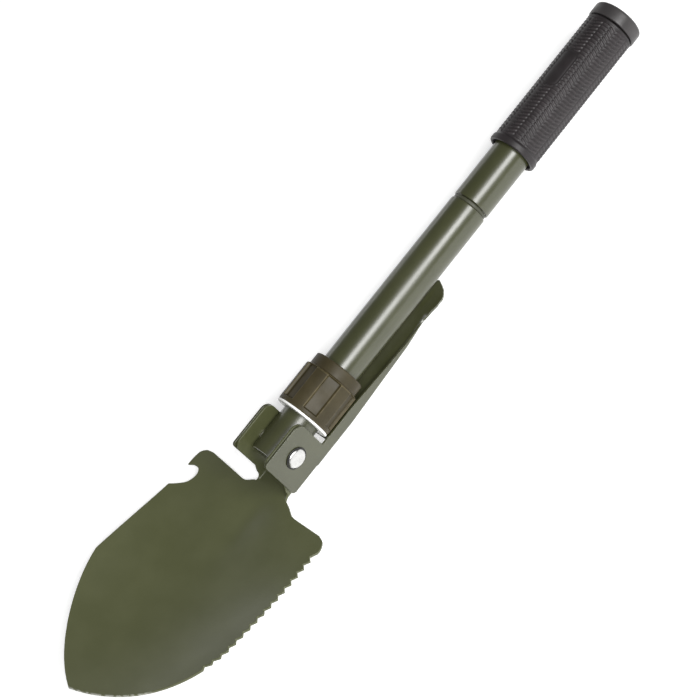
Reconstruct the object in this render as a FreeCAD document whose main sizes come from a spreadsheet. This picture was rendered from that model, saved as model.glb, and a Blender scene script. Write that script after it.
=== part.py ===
import FreeCAD, Part
import math
import os
import Sketcher

# A small folding shovel with a pick, in millimetres.
# +X is the saw-toothed side of the blade, +Y runs along the handle to the grip and +Z is up,
# out of the blade's hollow face. The shovel lies on its back, on the flat web of the folded pick.
# Most pieces are drawn from the pivot of the blade or along the axis of the handle.

os.makedirs("parts", exist_ok=True)
doc = FreeCAD.newDocument("folding_shovel")

# ---------------------------------------------------------------- driving dimensions

DIMENSIONS = [
    ("pivot_along", -58.0, "pivot from the middle of the shovel's length"),
    ("pivot_up", 17.0, "pivot and handle axis above the rest face"),
    ("fit_gap", 0.08, "radial clearance of a thread or a sliding ring"),
    ("press_gap", 0.02, "radial gap between pressed pieces"),
    ("stack_gap", 0.05, "gap between faces that meet when tightened"),
    ("tube_radius", 9.5, "outside of both handle tubes"),
    ("tube_wall", 1.1, "wall of both handle tubes"),
    ("stub_reach", 7.6, "lower tube past the pivot"),
    ("lower_tube_end", 141.8, "upper end of the lower tube, from the pivot"),
    ("tube_rounding", 0.8, "rounded tube ends at the screw joint"),
    ("ear_half", 12.9, "pivot to the flat edges of the ears"),
    ("ear_rounding", 4.6, "corners of the ears"),
    ("blade_ear_inside", 9.8, "inner face of a blade ear from the middle"),
    ("pick_ear_inside", 11.15, "inner face of a pick ear from the middle"),
    ("sheet_thickness", 1.2, "steel of the blade and the pick"),
    ("rivet_radius", 3.0, "rivet shank"),
    ("rivet_clearance", 0.06, "radial gap round the rivet"),
    ("rivet_head_radius", 4.8, "rivet heads"),
    ("rivet_head_thickness", 1.2, "rivet heads"),
    ("rivet_head_rounding", 0.95, "rounding of the rivet heads"),
    ("bush_radius", 4.4, "spacer bush outside"),
    ("rivet_washer_radius", 5.6, "washers under the rivet heads"),
    ("rivet_washer_thickness", 0.5, "washers under the rivet heads"),
    ("web_front", -14.7, "front face of the blade's neck"),
    ("neck_top", 8.5, "upper end of the neck, below the pivot"),
    ("neck_half_width", 11.0, "neck of the blade"),
    ("neck_wall_top", -7.2, "where the ears' walls start to run down to the blade"),
    ("flare_start", 17.6, "where the neck starts to widen, below the pivot"),
    ("dish_root", 17.0, "where the hollow of the blade begins, below the pivot"),
    ("blade_half_width", 50.1, "half of the blade's greatest width"),
    ("widest_line", 88.5, "greatest width, below the pivot"),
    ("blade_tip", 143.3, "tip of the blade, below the pivot"),
    ("edge_bow", 0.0067, "bow of the long edges, by the 1.5th power of the distance"),
    ("point_radius", 76.0, "the two arcs of the pointed end"),
    ("dish_start", 24.0, "where the blade starts to rise, below the pivot"),
    ("tip_rise", 25.4, "rise of the blade's middle from neck to tip"),
    ("rise_power", 2.8, "how late the middle rises"),
    ("hollow", 0.0043, "hollow across the blade, by the square of the distance"),
    ("hollow_reach", 38.0, "length over which the hollow grows"),
    ("hollow_full", 83.0, "where the hollow is full, below the pivot"),
    ("hollow_fade", 75.0, "length over which the hollow dies away towards the tip"),
    ("gutter_depth", 3.2, "gutter that runs out of the neck"),
    ("gutter_half", 10.5, "half width of the gutter"),
    ("gutter_reach", 25.0, "length of the gutter"),
    ("tooth_pitch", 4.41, "saw teeth"),
    ("tooth_flank", 2.85, "long flank of a tooth, along the edge"),
    ("tooth_depth", 2.1, "saw teeth"),
    ("tooth_count", 16, "saw teeth"),
    ("first_tooth", 33.1, "first tooth, below the pivot"),
    ("opener_lip_down", 44.0, "lower end of the opener's bite, below the pivot"),
    ("pick_web_outside", -17.0, "outer face of the pick's web"),
    ("pick_web_start", 16.5, "lower edge of the pick's web, from the pivot"),
    ("pick_back_step", 4.7, "where the pick's walls deepen, from the pivot"),
    ("pick_ear_rear", -15.2, "rear edge of a pick ear"),
    ("pick_ear_low_rounding", 1.8, "lower corners of a pick ear"),
    ("pick_wall_front", -9.2, "front edge of the pick's walls beside the collar"),
    ("pick_wall_drop", 33.0, "where the walls start to fall, from the pivot"),
    ("pick_wall_bend", 60.0, "where the walls' steep fall ends, from the pivot"),
    ("pick_wall_low", -12.5, "front edge of the walls there"),
    ("pick_taper_start", 30.0, "where the pick starts to narrow, from the pivot"),
    ("pick_shank_line", 74.0, "where the pick narrows faster, from the pivot"),
    ("pick_shank_half", 10.1, "half width there"),
    ("pick_nose_line", 106.2, "where the point turns in, from the pivot"),
    ("pick_nose_half", 5.6, "half width there"),
    ("pick_wall_end", 92.0, "where the pick's walls run out, from the pivot"),
    ("pick_waist_half", 7.8, "half width where the walls run out"),
    ("pick_point_half", 8.7, "half width of the spear point"),
    ("pick_point_line", 100.5, "widest line of the spear point, from the pivot"),
    ("pick_tip", 109.2, "tip of the pick, from the pivot"),
    ("pick_bend", 1.0, "outside radius of the pick's folded edges"),
    ("washer_seat", 16.55, "lower face of the thrust washer, from the pivot"),
    ("washer_radius", 14.0, "thrust washer"),
    ("washer_thickness", 1.1, "thrust washer"),
    ("collar_radius", 14.2, "locking collar over its ribs"),
    ("collar_rib_length", 20.9, "ribbed length of the collar"),
    ("collar_length", 27.4, "whole collar"),
    ("collar_shoulder_radius", 12.9, "smooth upper band of the collar"),
    ("collar_band", 2.2, "plain band at the foot of the collar"),
    ("collar_flute_floor", 12.3, "floor of the flutes from the axis"),
    ("collar_flute_width", 7.4, "one flute"),
    ("collar_flute_count", 6, "flutes round the collar"),
    ("collar_rounding", 0.6, "edges of the collar"),
    ("collar_chamfer", 0.6, "step from the ribs to the smooth band, along the axis"),
    ("collar_turn", 46.0, "degrees that the collar is turned from its drawn place"),
    ("stud_sleeve", 24.0, "part of the stud pressed in the lower tube"),
    ("stud_reach", 18.0, "threaded part of the stud"),
    ("stud_radius", 6.2, "threaded part of the stud"),
    ("stud_bore", 4.4, "bore of the stud"),
    ("seal_radius", 8.8, "seal ring outside"),
    ("seal_thickness", 2.0, "seal ring"),
    ("socket_length", 20.5, "threaded socket in the upper tube"),
    ("upper_tube_end", 250.0, "upper end of the upper tube, from the pivot"),
    ("grip_start", 175.0, "lower end of the grip, from the pivot"),
    ("grip_end", 252.0, "upper end of the grip, from the pivot"),
    ("grip_radius", 12.2, "grip"),
    ("grip_lip_radius", 12.6, "lip at the grip's lower end"),
    ("grip_lip_length", 3.4, "lip at the grip's lower end"),
    ("grip_mouth_radius", 10.8, "open mouth inside the lip"),
    ("grip_mouth_depth", 3.0, "open mouth inside the lip"),
    ("grip_rounding", 0.7, "edges of the grip"),
    ("cap_socket_sleeve", 16.0, "threaded ring inside the upper tube"),
    ("cap_socket_flange", 1.0, "its flange on the tube's end"),
    ("cap_socket_bore", 7.1, "its bore"),
    ("o_ring_radius", 8.1, "middle of the o-ring's section from the axis"),
    ("o_ring_section", 0.7, "half the o-ring's section"),
    ("cap_radius", 12.7, "end cap"),
    ("cap_under", 252.5, "underside of the end cap, from the pivot"),
    ("cap_end", 259.5, "outer end of the end cap, from the pivot"),
    ("cap_stem_length", 9.0, "threaded stem of the end cap"),
    ("cap_stem_bore", 5.4, "bore of the stem"),
    ("cap_recess_radius", 9.3, "recess for the compass"),
    ("cap_recess_depth", 5.0, "recess for the compass"),
    ("cap_rounding", 1.5, "outer edge of the cap"),
    ("case_wall", 0.6, "wall and floor of the compass case"),
    ("case_height", 4.8, "compass case"),
    ("dial_thickness", 0.3, "compass dial"),
    ("pin_foot_radius", 0.9, "foot of the compass pin"),
    ("pin_foot_thickness", 0.25, "foot of the compass pin"),
    ("pin_radius", 0.25, "compass pin"),
    ("pin_height", 1.5, "compass pin"),
    ("needle_half_length", 7.0, "compass needle"),
    ("needle_half_width", 1.4, "compass needle"),
    ("needle_thickness", 0.25, "compass needle"),
    ("needle_lift", 0.9, "needle above the dial"),
    ("lens_thickness", 0.9, "compass lens"),
    ("lens_sink", 0.25, "lens below the rim of the case"),
]

sheet = doc.addObject("Spreadsheet::Sheet", "Dims")
for row, (alias, value, note) in enumerate(DIMENSIONS, 1):
    sheet.set(f"A{row}", alias)
    sheet.set(f"B{row}", str(value))
    sheet.setAlias(f"B{row}", alias)
    sheet.set(f"C{row}", note)
doc.recompute()


class Size:
    """A length that carries its value and the sheet expression it comes from."""

    def __init__(self, value, text):
        self.value = value
        self.text = text

    def joined(self, other, sign, value):
        other_text = other.text if isinstance(other, Size) else repr(float(other))
        return Size(value, f"({self.text} {sign} {other_text})")

    def __add__(self, other):
        return self.joined(other, "+", self.value + plain(other))

    def __sub__(self, other):
        return self.joined(other, "-", self.value - plain(other))

    def __mul__(self, other):
        return self.joined(other, "*", self.value * plain(other))

    def __neg__(self):
        return self * -1


def plain(size):
    """The plain number of a Size or of a number."""
    return size.value if isinstance(size, Size) else float(size)


def dim(alias):
    """One driving dimension of the sheet."""
    return Size(float(sheet.get(alias)), f"Dims.{alias}")


ZERO = Size(0.0, "0")
PIVOT = (ZERO, dim("pivot_along"), dim("pivot_up"))
LENGTHWISE = FreeCAD.Rotation()
ACROSS = FreeCAD.Rotation(FreeCAD.Vector(0, 0, 1), -90)
UP_THE_HANDLE = FreeCAD.Rotation(FreeCAD.Vector(1, 0, 0), -90)

# ---------------------------------------------------------------- helpers


def place(piece, across, along, rotation=LENGTHWISE):
    """Puts a piece's own origin at a point of the handle axis, measured from the pivot."""
    piece.Placement = FreeCAD.Placement(FreeCAD.Vector(), rotation)
    piece.setExpression("Placement.Base.x", across.text)
    piece.setExpression("Placement.Base.y", (PIVOT[1] + along).text)
    piece.setExpression("Placement.Base.z", PIVOT[2].text)


def new_sketch(body, name, role, offset=None):
    """A sketch on one of the body's own origin planes, moved along its normal."""
    plane = next(item for item in body.Origin.OriginFeatures if item.Role == role)
    sketch = body.newObject("Sketcher::SketchObject", name)
    sketch.AttachmentSupport = [(plane, "")]
    sketch.MapMode = "FlatFace"
    if offset is not None:
        sketch.setExpression("AttachmentOffset.Base.z", offset.text)
    return sketch


def pin_point(sketch, line, vertex, across, up):
    """Ties one sketch point to the origin with two driven distances."""
    for kind, size, axis in (("DistanceX", across, -2), ("DistanceY", up, -1)):
        if abs(plain(size)) < 1e-9:
            sketch.addConstraint(Sketcher.Constraint("PointOnObject", line, vertex, axis))
            continue
        index = sketch.addConstraint(Sketcher.Constraint(kind, -1, 1, line, vertex, size.value))
        sketch.setExpression(f"Constraints[{index}]", size.text)


def draw_loop(sketch, corners):
    """A closed polygon whose every corner is bound to the sheet."""
    points = [FreeCAD.Vector(plain(across), plain(up), 0) for across, up in corners]
    lines = []
    for start, end in zip(points, points[1:] + points[:1]):
        lines.append(sketch.addGeometry(Part.LineSegment(start, end), False))
    for line, after in zip(lines, lines[1:] + lines[:1]):
        sketch.addConstraint(Sketcher.Constraint("Coincident", line, 2, after, 1))
    for line, (across, up) in zip(lines, corners):
        pin_point(sketch, line, 1, across, up)


def draw_circle(sketch, across, up, radius):
    """A circle bound to the sheet."""
    centre = FreeCAD.Vector(plain(across), plain(up), 0)
    circle = sketch.addGeometry(Part.Circle(centre, FreeCAD.Vector(0, 0, 1), radius.value), False)
    pin_point(sketch, circle, 3, across, up)
    index = sketch.addConstraint(Sketcher.Constraint("Radius", circle, radius.value))
    sketch.setExpression(f"Constraints[{index}]", radius.text)


def pad(body, name, sketch, length, both_ways=False):
    """Adds material along the sketch's normal."""
    feature = body.newObject("PartDesign::Pad", name)
    feature.Profile = sketch
    feature.SideType = "Symmetric" if both_ways else "One side"
    feature.setExpression("Length", length.text)
    doc.recompute()
    return feature


def pocket(body, name, sketch, length, both_ways=False, upwards=False):
    """Cuts material and makes sure that some was cut."""
    before = body.Shape.Volume
    feature = body.newObject("PartDesign::Pocket", name)
    feature.Profile = sketch
    feature.SideType = "Symmetric" if both_ways else "One side"
    feature.Reversed = upwards
    feature.setExpression("Length", length.text)
    doc.recompute()
    if body.Shape.Volume > before - 1e-3:
        raise RuntimeError(f"{body.Label}: {name} cuts nothing")
    return feature


def edges_near(shape, spots, reach=0.05):
    """Names of the edges whose middle lies close to one of the given spots."""
    names = []
    for number, edge in enumerate(shape.Edges, 1):
        middle = edge.valueAt((edge.FirstParameter + edge.LastParameter) / 2)
        if any(test(middle, reach) for test in spots):
            names.append(f"Edge{number}")
    return names


def ring_at(radius, height):
    """Matches the circle of a turned piece at this radius and height."""
    def test(point, reach):
        distance = math.hypot(point.x, point.z)
        return abs(distance - plain(radius)) < reach and abs(point.y - plain(height)) < reach
    return test


def corner_at(along, up):
    """Matches an edge that runs across the piece at this place in its side view."""
    def test(point, reach):
        return abs(point.y - plain(along)) < reach and abs(point.z - plain(up)) < reach
    return test


def fillet(body, name, spots, radius):
    """Rounds the edges that the spots match."""
    base = body.Tip
    names = edges_near(base.Shape, spots)
    if not names:
        raise RuntimeError(f"{body.Label}: {name} finds no edge")
    feature = body.newObject("PartDesign::Fillet", name)
    feature.Base = (base, names)
    feature.setExpression("Radius", radius.text)
    doc.recompute()
    if feature.Shape.isNull() or "Invalid" in feature.State:
        raise RuntimeError(f"{body.Label}: {name} can't be rounded by {radius.value}")
    return feature


def turned(label, corners, along, rotation=LENGTHWISE, across=ZERO):
    """A turned piece: corners are (radius, height) round its own Y axis."""
    body = doc.addObject("PartDesign::Body", label)
    sketch = new_sketch(body, f"{label}_profile", "XY_Plane")
    draw_loop(sketch, corners)
    feature = body.newObject("PartDesign::Revolution", f"{label}_turned")
    feature.Profile = sketch
    feature.ReferenceAxis = (sketch, ["V_Axis"])
    feature.Angle = 360
    place(body, across, along, rotation)
    doc.recompute()
    return body


def sleeve(inner, outer, length):
    """Corners of a plain ring."""
    return [(inner, ZERO), (outer, ZERO), (outer, length), (inner, length)]


# ---------------------------------------------------------------- handle tubes and screw joint

tube_outside = dim("tube_radius")
tube_inside = tube_outside - dim("tube_wall")
pressed_outside = tube_inside - dim("press_gap")
lower_length = dim("lower_tube_end") + dim("stub_reach")
rivet_hole = dim("rivet_radius") + dim("rivet_clearance")

lower_tube = turned("lower_tube", sleeve(tube_inside, tube_outside, lower_length), -dim("stub_reach"))
bush_hole = new_sketch(lower_tube, "bush_hole", "YZ_Plane")
draw_circle(bush_hole, dim("stub_reach"), ZERO, dim("bush_radius") + dim("press_gap"))
pocket(lower_tube, "bush_bore", bush_hole, tube_outside * 3, both_ways=True)
fillet(lower_tube, "lower_tube_rounding", [ring_at(tube_outside, lower_length)], dim("tube_rounding"))

bush_length = dim("blade_ear_inside") * 2 - dim("stack_gap") * 2
turned("pivot_bush", sleeve(rivet_hole, dim("bush_radius"), bush_length),
       ZERO, ACROSS, -bush_length * 0.5)

stud_step = dim("stud_sleeve")
stud_top = stud_step + dim("stud_reach")
joint_stud = turned("joint_stud", [
    (dim("stud_bore"), ZERO), (pressed_outside, ZERO), (pressed_outside, stud_step),
    (dim("stud_radius"), stud_step), (dim("stud_radius"), stud_top), (dim("stud_bore"), stud_top)],
    dim("lower_tube_end") - stud_step)
fillet(joint_stud, "stud_nose", [ring_at(dim("stud_radius"), stud_top)], dim("collar_rounding"))

thread_bore = dim("stud_radius") + dim("fit_gap")
seal_start = dim("lower_tube_end") + dim("stack_gap")
joint_seal_ring = turned("joint_seal_ring",
                         sleeve(thread_bore, dim("seal_radius"), dim("seal_thickness")), seal_start)
fillet(joint_seal_ring, "seal_rounding",
       [ring_at(dim("seal_radius"), ZERO), ring_at(dim("seal_radius"), dim("seal_thickness"))],
       dim("collar_rounding"))

upper_start = seal_start + dim("seal_thickness") + dim("stack_gap")
turned("joint_socket", sleeve(thread_bore, pressed_outside, dim("socket_length")), upper_start)

upper_length = dim("upper_tube_end") - upper_start
upper_tube = turned("upper_tube", sleeve(tube_inside, tube_outside, upper_length), upper_start)
fillet(upper_tube, "upper_tube_rounding", [ring_at(tube_outside, ZERO)], dim("tube_rounding"))

# ---------------------------------------------------------------- grip and end cap

grip_inside = tube_outside + dim("press_gap")
grip_length = dim("grip_end") - dim("grip_start")
grip_sleeve = turned("grip_sleeve", [
    (dim("grip_mouth_radius"), ZERO), (dim("grip_lip_radius"), ZERO),
    (dim("grip_lip_radius"), dim("grip_lip_length")),
    (dim("grip_radius"), dim("grip_lip_length") + 1.0),
    (dim("grip_radius"), grip_length), (grip_inside, grip_length),
    (grip_inside, dim("grip_mouth_depth")), (dim("grip_mouth_radius"), dim("grip_mouth_depth"))],
    dim("grip_start"))
fillet(grip_sleeve, "grip_edges",
       [ring_at(dim("grip_lip_radius"), ZERO), ring_at(dim("grip_mouth_radius"), ZERO),
        ring_at(dim("grip_radius"), grip_length)], dim("grip_rounding"))

socket_sleeve = dim("cap_socket_sleeve")
socket_top = socket_sleeve + dim("cap_socket_flange")
turned("cap_socket", [
    (dim("cap_socket_bore"), ZERO), (pressed_outside, ZERO), (pressed_outside, socket_sleeve),
    (tube_outside, socket_sleeve), (tube_outside, socket_top), (dim("cap_socket_bore"), socket_top)],
    dim("upper_tube_end") - socket_sleeve)

o_ring_height = dim("upper_tube_end") + dim("cap_socket_flange") + dim("stack_gap") \
    + dim("o_ring_section")
cap_o_ring = doc.addObject("Part::Torus", "cap_o_ring")
cap_o_ring.setExpression("Radius1", dim("o_ring_radius").text)
cap_o_ring.setExpression("Radius2", dim("o_ring_section").text)
place(cap_o_ring, ZERO, o_ring_height, UP_THE_HANDLE)

stem_top = dim("cap_stem_length")
cap_top = stem_top + dim("cap_end") - dim("cap_under")
recess_floor = cap_top - dim("cap_recess_depth")
stem_outside = dim("cap_socket_bore") - dim("fit_gap")
end_cap = turned("end_cap", [
    (dim("cap_stem_bore"), ZERO), (stem_outside, ZERO), (stem_outside, stem_top),
    (dim("cap_radius"), stem_top), (dim("cap_radius"), cap_top),
    (dim("cap_recess_radius"), cap_top), (dim("cap_recess_radius"), recess_floor),
    (ZERO, recess_floor), (ZERO, stem_top), (dim("cap_stem_bore"), stem_top)],
    dim("cap_under") - stem_top)
fillet(end_cap, "cap_rounding", [ring_at(dim("cap_radius"), cap_top)], dim("cap_rounding"))
fillet(end_cap, "cap_foot_rounding", [ring_at(dim("cap_radius"), stem_top)], dim("collar_rounding"))

# ---------------------------------------------------------------- compass in the end cap

case_outside = dim("cap_recess_radius") - dim("stack_gap")
case_inside = case_outside - dim("case_wall")
case_start = dim("cap_end") - dim("cap_recess_depth")
turned("compass_case", [
    (ZERO, ZERO), (case_outside, ZERO), (case_outside, dim("case_height")),
    (case_inside, dim("case_height")), (case_inside, dim("case_wall")), (ZERO, dim("case_wall"))],
    case_start)

disc_radius = case_inside - dim("press_gap")
dial_start = case_start + dim("case_wall")
pin_start = dial_start + dim("dial_thickness")
lens_start = case_start + dim("case_height") - dim("lens_sink") - dim("lens_thickness")


def disc(label, radius, thickness, along):
    """A plain round disc."""
    return turned(label, [(ZERO, ZERO), (radius, ZERO), (radius, thickness), (ZERO, thickness)], along)


disc("compass_dial", disc_radius, dim("dial_thickness"), dial_start)
disc("compass_lens", disc_radius, dim("lens_thickness"), lens_start)

turned("compass_pivot", [
    (ZERO, ZERO), (dim("pin_foot_radius"), ZERO),
    (dim("pin_foot_radius"), dim("pin_foot_thickness")),
    (dim("pin_radius"), dim("pin_foot_thickness")), (dim("pin_radius"), dim("pin_height")),
    (ZERO, dim("pin_height"))], pin_start)

compass_needle = doc.addObject("PartDesign::Body", "compass_needle")
needle_outline = new_sketch(compass_needle, "needle_outline", "XY_Plane")
draw_loop(needle_outline, [
    (-dim("needle_half_width"), ZERO), (ZERO, -dim("needle_half_length")),
    (dim("needle_half_width"), ZERO), (ZERO, dim("needle_half_length"))])
pad(compass_needle, "needle_plate", needle_outline, dim("needle_thickness"))
needle_hole = new_sketch(compass_needle, "needle_hole", "XY_Plane")
draw_circle(needle_hole, ZERO, ZERO, dim("pin_radius") + dim("fit_gap"))
pocket(compass_needle, "needle_bore", needle_hole, dim("needle_thickness") * 3, both_ways=True)
place(compass_needle, ZERO, pin_start + dim("needle_lift"), UP_THE_HANDLE)

# ---------------------------------------------------------------- locking collar

collar_bore = tube_outside + dim("fit_gap")
turned("thrust_washer", sleeve(collar_bore, dim("washer_radius"), dim("washer_thickness")),
       dim("washer_seat"))

collar_start = dim("washer_seat") + dim("washer_thickness") + dim("stack_gap")
rib_top = dim("collar_rib_length")
locking_collar = turned("locking_collar", [
    (collar_bore, ZERO), (dim("collar_radius"), ZERO), (dim("collar_radius"), rib_top),
    (dim("collar_shoulder_radius"), rib_top + dim("collar_chamfer")),
    (dim("collar_shoulder_radius"), dim("collar_length")), (collar_bore, dim("collar_length"))],
    collar_start, FreeCAD.Rotation(FreeCAD.Vector(0, 1, 0), dim("collar_turn").value))
fillet(locking_collar, "collar_edges",
       [ring_at(dim("collar_radius"), ZERO), ring_at(dim("collar_radius"), rib_top),
        ring_at(dim("collar_shoulder_radius"), dim("collar_length"))], dim("collar_rounding"))
flute_half = dim("collar_flute_width") * 0.5
flute_length = rib_top - dim("collar_band")
flute_outline = new_sketch(locking_collar, "flute_outline", "XZ_Plane", -dim("collar_band"))
draw_loop(flute_outline, [
    (-flute_half, dim("collar_flute_floor")), (flute_half, dim("collar_flute_floor")),
    (flute_half, dim("collar_radius") + 2.0), (-flute_half, dim("collar_radius") + 2.0)])
flute = pocket(locking_collar, "flute", flute_outline, flute_length)
fluted_once = locking_collar.Shape.Volume
flutes = locking_collar.newObject("PartDesign::PolarPattern", "flutes")
flutes.Originals = [flute]
flutes.Axis = (flute_outline, ["V_Axis"])
flutes.setExpression("Occurrences", dim("collar_flute_count").text)
flutes.Angle = 360
locking_collar.Tip = flutes
doc.recompute()

# ---------------------------------------------------------------- pivot rivet and its washers

pick_outside = dim("pick_ear_inside") + dim("sheet_thickness")
rivet_washer_face = pick_outside + dim("stack_gap")
head_seat = rivet_washer_face + dim("rivet_washer_thickness")
rivet_length = (head_seat + dim("rivet_head_thickness")) * 2
head_under = rivet_length - dim("rivet_head_thickness")
pivot_rivet = turned("pivot_rivet", [
    (ZERO, ZERO), (dim("rivet_head_radius"), ZERO),
    (dim("rivet_head_radius"), dim("rivet_head_thickness")),
    (dim("rivet_radius"), dim("rivet_head_thickness")), (dim("rivet_radius"), head_under),
    (dim("rivet_head_radius"), head_under), (dim("rivet_head_radius"), rivet_length),
    (ZERO, rivet_length)], ZERO, ACROSS, -rivet_length * 0.5)
fillet(pivot_rivet, "rivet_heads",
       [ring_at(dim("rivet_head_radius"), ZERO), ring_at(dim("rivet_head_radius"), rivet_length)],
       dim("rivet_head_rounding"))


def washer_under_head(side, across):
    """One thin washer, drawn as a disc less its hole."""
    blanks = []
    for part, radius in (("disc", dim("rivet_washer_radius")), ("hole", rivet_hole)):
        blank = doc.addObject("Part::Cylinder", f"rivet_washer_{side}_{part}")
        blank.setExpression("Radius", radius.text)
        blank.setExpression("Height", dim("rivet_washer_thickness").text)
        place(blank, across, ZERO, FreeCAD.Rotation(FreeCAD.Vector(0, 1, 0), 90))
        blanks.append(blank)
    washer = doc.addObject("Part::Cut", f"rivet_washer_{side}")
    washer.Base, washer.Tool = blanks
    return washer


rivet_washers = doc.addObject("Part::Compound", "rivet_washers")
rivet_washers.Links = [
    washer_under_head("right", rivet_washer_face),
    washer_under_head("left", -head_seat)]

# ---------------------------------------------------------------- pick

ear_half = dim("ear_half")
web_outside = dim("pick_web_outside")
web_inside = web_outside + dim("sheet_thickness")
ear_rear = dim("pick_ear_rear")
wall_front = dim("pick_wall_front")
back_step = dim("pick_back_step")

pick = doc.addObject("PartDesign::Body", "pick")
pick_side = new_sketch(pick, "pick_side", "YZ_Plane")
draw_loop(pick_side, [
    (-ear_half, ear_rear), (-ear_half, ear_half), (ear_half, ear_half), (ear_half, wall_front),
    (dim("pick_wall_drop"), wall_front), (dim("pick_wall_bend"), dim("pick_wall_low")),
    (dim("pick_wall_end"), web_inside), (dim("pick_tip"), web_inside),
    (dim("pick_tip"), web_outside), (back_step, web_outside), (back_step, ear_rear)])
pad(pick, "pick_side_block", pick_side, pick_outside * 2, both_ways=True)
fillet(pick, "pick_ear_corner", [corner_at(ear_half, ear_half)], dim("ear_rounding"))
fillet(pick, "pick_ear_low_corners",
       [corner_at(-ear_half, ear_half), corner_at(-ear_half, ear_rear)], dim("pick_ear_low_rounding"))
fillet(pick, "pick_notch", [corner_at(ear_half, wall_front)], dim("collar_rounding"))

trim_reach = pick_outside + 5.0
pick_plan = new_sketch(pick, "pick_plan", "XY_Plane")
draw_loop(pick_plan, [
    (-trim_reach, -ear_half - 5.0), (trim_reach, -ear_half - 5.0),
    (trim_reach, dim("pick_tip") + 5.0), (-trim_reach, dim("pick_tip") + 5.0)])
draw_loop(pick_plan, [
    (-pick_outside - 1.0, -ear_half - 1.0), (pick_outside + 1.0, -ear_half - 1.0),
    (pick_outside + 1.0, dim("pick_taper_start")), (pick_outside, dim("pick_taper_start")),
    (dim("pick_shank_half"), dim("pick_shank_line")), (dim("pick_waist_half"), dim("pick_wall_end")),
    (dim("pick_point_half"), dim("pick_point_line")), (dim("pick_nose_half"), dim("pick_nose_line")),
    (ZERO, dim("pick_tip")), (-dim("pick_nose_half"), dim("pick_nose_line")),
    (-dim("pick_point_half"), dim("pick_point_line")),
    (-dim("pick_waist_half"), dim("pick_wall_end")), (-dim("pick_shank_half"), dim("pick_shank_line")),
    (-pick_outside, dim("pick_taper_start")), (-pick_outside - 1.0, dim("pick_taper_start"))])
pocket(pick, "pick_taper", pick_plan, ear_half * 6, both_ways=True)


def long_edge_at(up):
    """Matches a folded long edge of the pick at this height."""
    def test(point, reach):
        beyond_ears = point.y > dim("pick_web_start").value + 1.0
        before_point = point.y < dim("pick_wall_end").value
        return abs(point.z - plain(up)) < reach and beyond_ears and before_point
    return test


fillet(pick, "pick_folds", [long_edge_at(web_outside)], dim("pick_bend"))

inner_half = dim("pick_ear_inside")
inner_shank = dim("pick_shank_half") - dim("sheet_thickness")
inner_waist = dim("pick_waist_half") - dim("sheet_thickness")
pick_hollow = new_sketch(pick, "pick_hollow", "XY_Plane", web_inside)
draw_loop(pick_hollow, [
    (-inner_half, -ear_half - 1.0), (inner_half, -ear_half - 1.0),
    (inner_half, dim("pick_taper_start")), (inner_shank, dim("pick_shank_line")),
    (inner_waist, dim("pick_wall_end")), (inner_waist, dim("pick_wall_end") + 1.0),
    (-inner_waist, dim("pick_wall_end") + 1.0), (-inner_waist, dim("pick_wall_end")),
    (-inner_shank, dim("pick_shank_line")), (-inner_half, dim("pick_taper_start"))])
pocket(pick, "pick_channel", pick_hollow, ear_half * 3, upwards=True)

pick_mouth = new_sketch(pick, "pick_mouth", "XY_Plane")
draw_loop(pick_mouth, [
    (-inner_half, -ear_half - 1.0), (inner_half, -ear_half - 1.0),
    (inner_half, dim("pick_web_start")), (-inner_half, dim("pick_web_start"))])
pocket(pick, "pick_open_end", pick_mouth, ear_half * 4, both_ways=True)

pick_hole = new_sketch(pick, "pick_hole", "YZ_Plane")
draw_circle(pick_hole, ZERO, ZERO, rivet_hole)
pocket(pick, "pick_rivet_holes", pick_hole, pick_outside * 3, both_ways=True)
place(pick, ZERO, ZERO)

# ---------------------------------------------------------------- blade

tip_down = dim("blade_tip").value
widest = dim("widest_line").value
half_width = dim("blade_half_width").value
steel = dim("sheet_thickness").value
web_front = dim("web_front").value


def edge_half_width(down):
    """Half width of the blade: a long gentle flare, then an arc that runs in to the point."""
    if down < widest:
        return half_width - dim("edge_bow").value * (widest - down) ** 1.5
    radius = dim("point_radius").value
    length = tip_down - widest
    chord = math.hypot(length, half_width)
    bulge = math.sqrt(radius ** 2 - chord ** 2 / 4)
    centre_down = (tip_down + widest) / 2 - bulge * half_width / chord
    centre_across = half_width / 2 - bulge * length / chord
    return math.sqrt(radius ** 2 - (down - centre_down) ** 2) + centre_across


def fade(beyond, reach):
    """1 up to a line, then falling smoothly to 0 over a few times the reach."""
    return math.exp(-(max(beyond, 0.0) / reach) ** 2)


def face_height(across, down):
    """Front face of the dished blade: a hollow across, and a gutter that runs out of the neck."""
    start = dim("dish_start").value
    beyond_neck = down - dim("dish_root").value
    run = max(down - start, 0.0) / (tip_down - start)
    middle = web_front + dim("tip_rise").value * run ** dim("rise_power").value
    hollow = dim("hollow").value * (1 - fade(beyond_neck, dim("hollow_reach").value))
    hollow *= fade(down - dim("hollow_full").value, dim("hollow_fade").value)
    gutter = dim("gutter_depth").value * (1 - fade(beyond_neck, dim("gutter_half").value))
    gutter *= fade(down - start, dim("gutter_reach").value)
    narrow = across ** 2 / (across ** 2 + dim("gutter_half").value ** 2)
    return middle + hollow * across ** 2 + gutter * narrow


def spline_face(drop):
    """A spline face through the dished shape, lowered by drop."""
    row_count = 36
    column_count = 12
    first = dim("neck_top").value - 2.0
    last = tip_down + 6.0
    reach = half_width + 4.0
    stations = [reach * column / column_count for column in range(-column_count, column_count + 1)]
    rows = []
    for row in range(row_count + 1):
        down = first + (last - first) * row / row_count
        rows.append([FreeCAD.Vector(across, -down, face_height(across, down) - drop)
                     for across in stations])
    surface = Part.BSplineSurface()
    surface.interpolate(rows)
    return surface.toShape()


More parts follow.
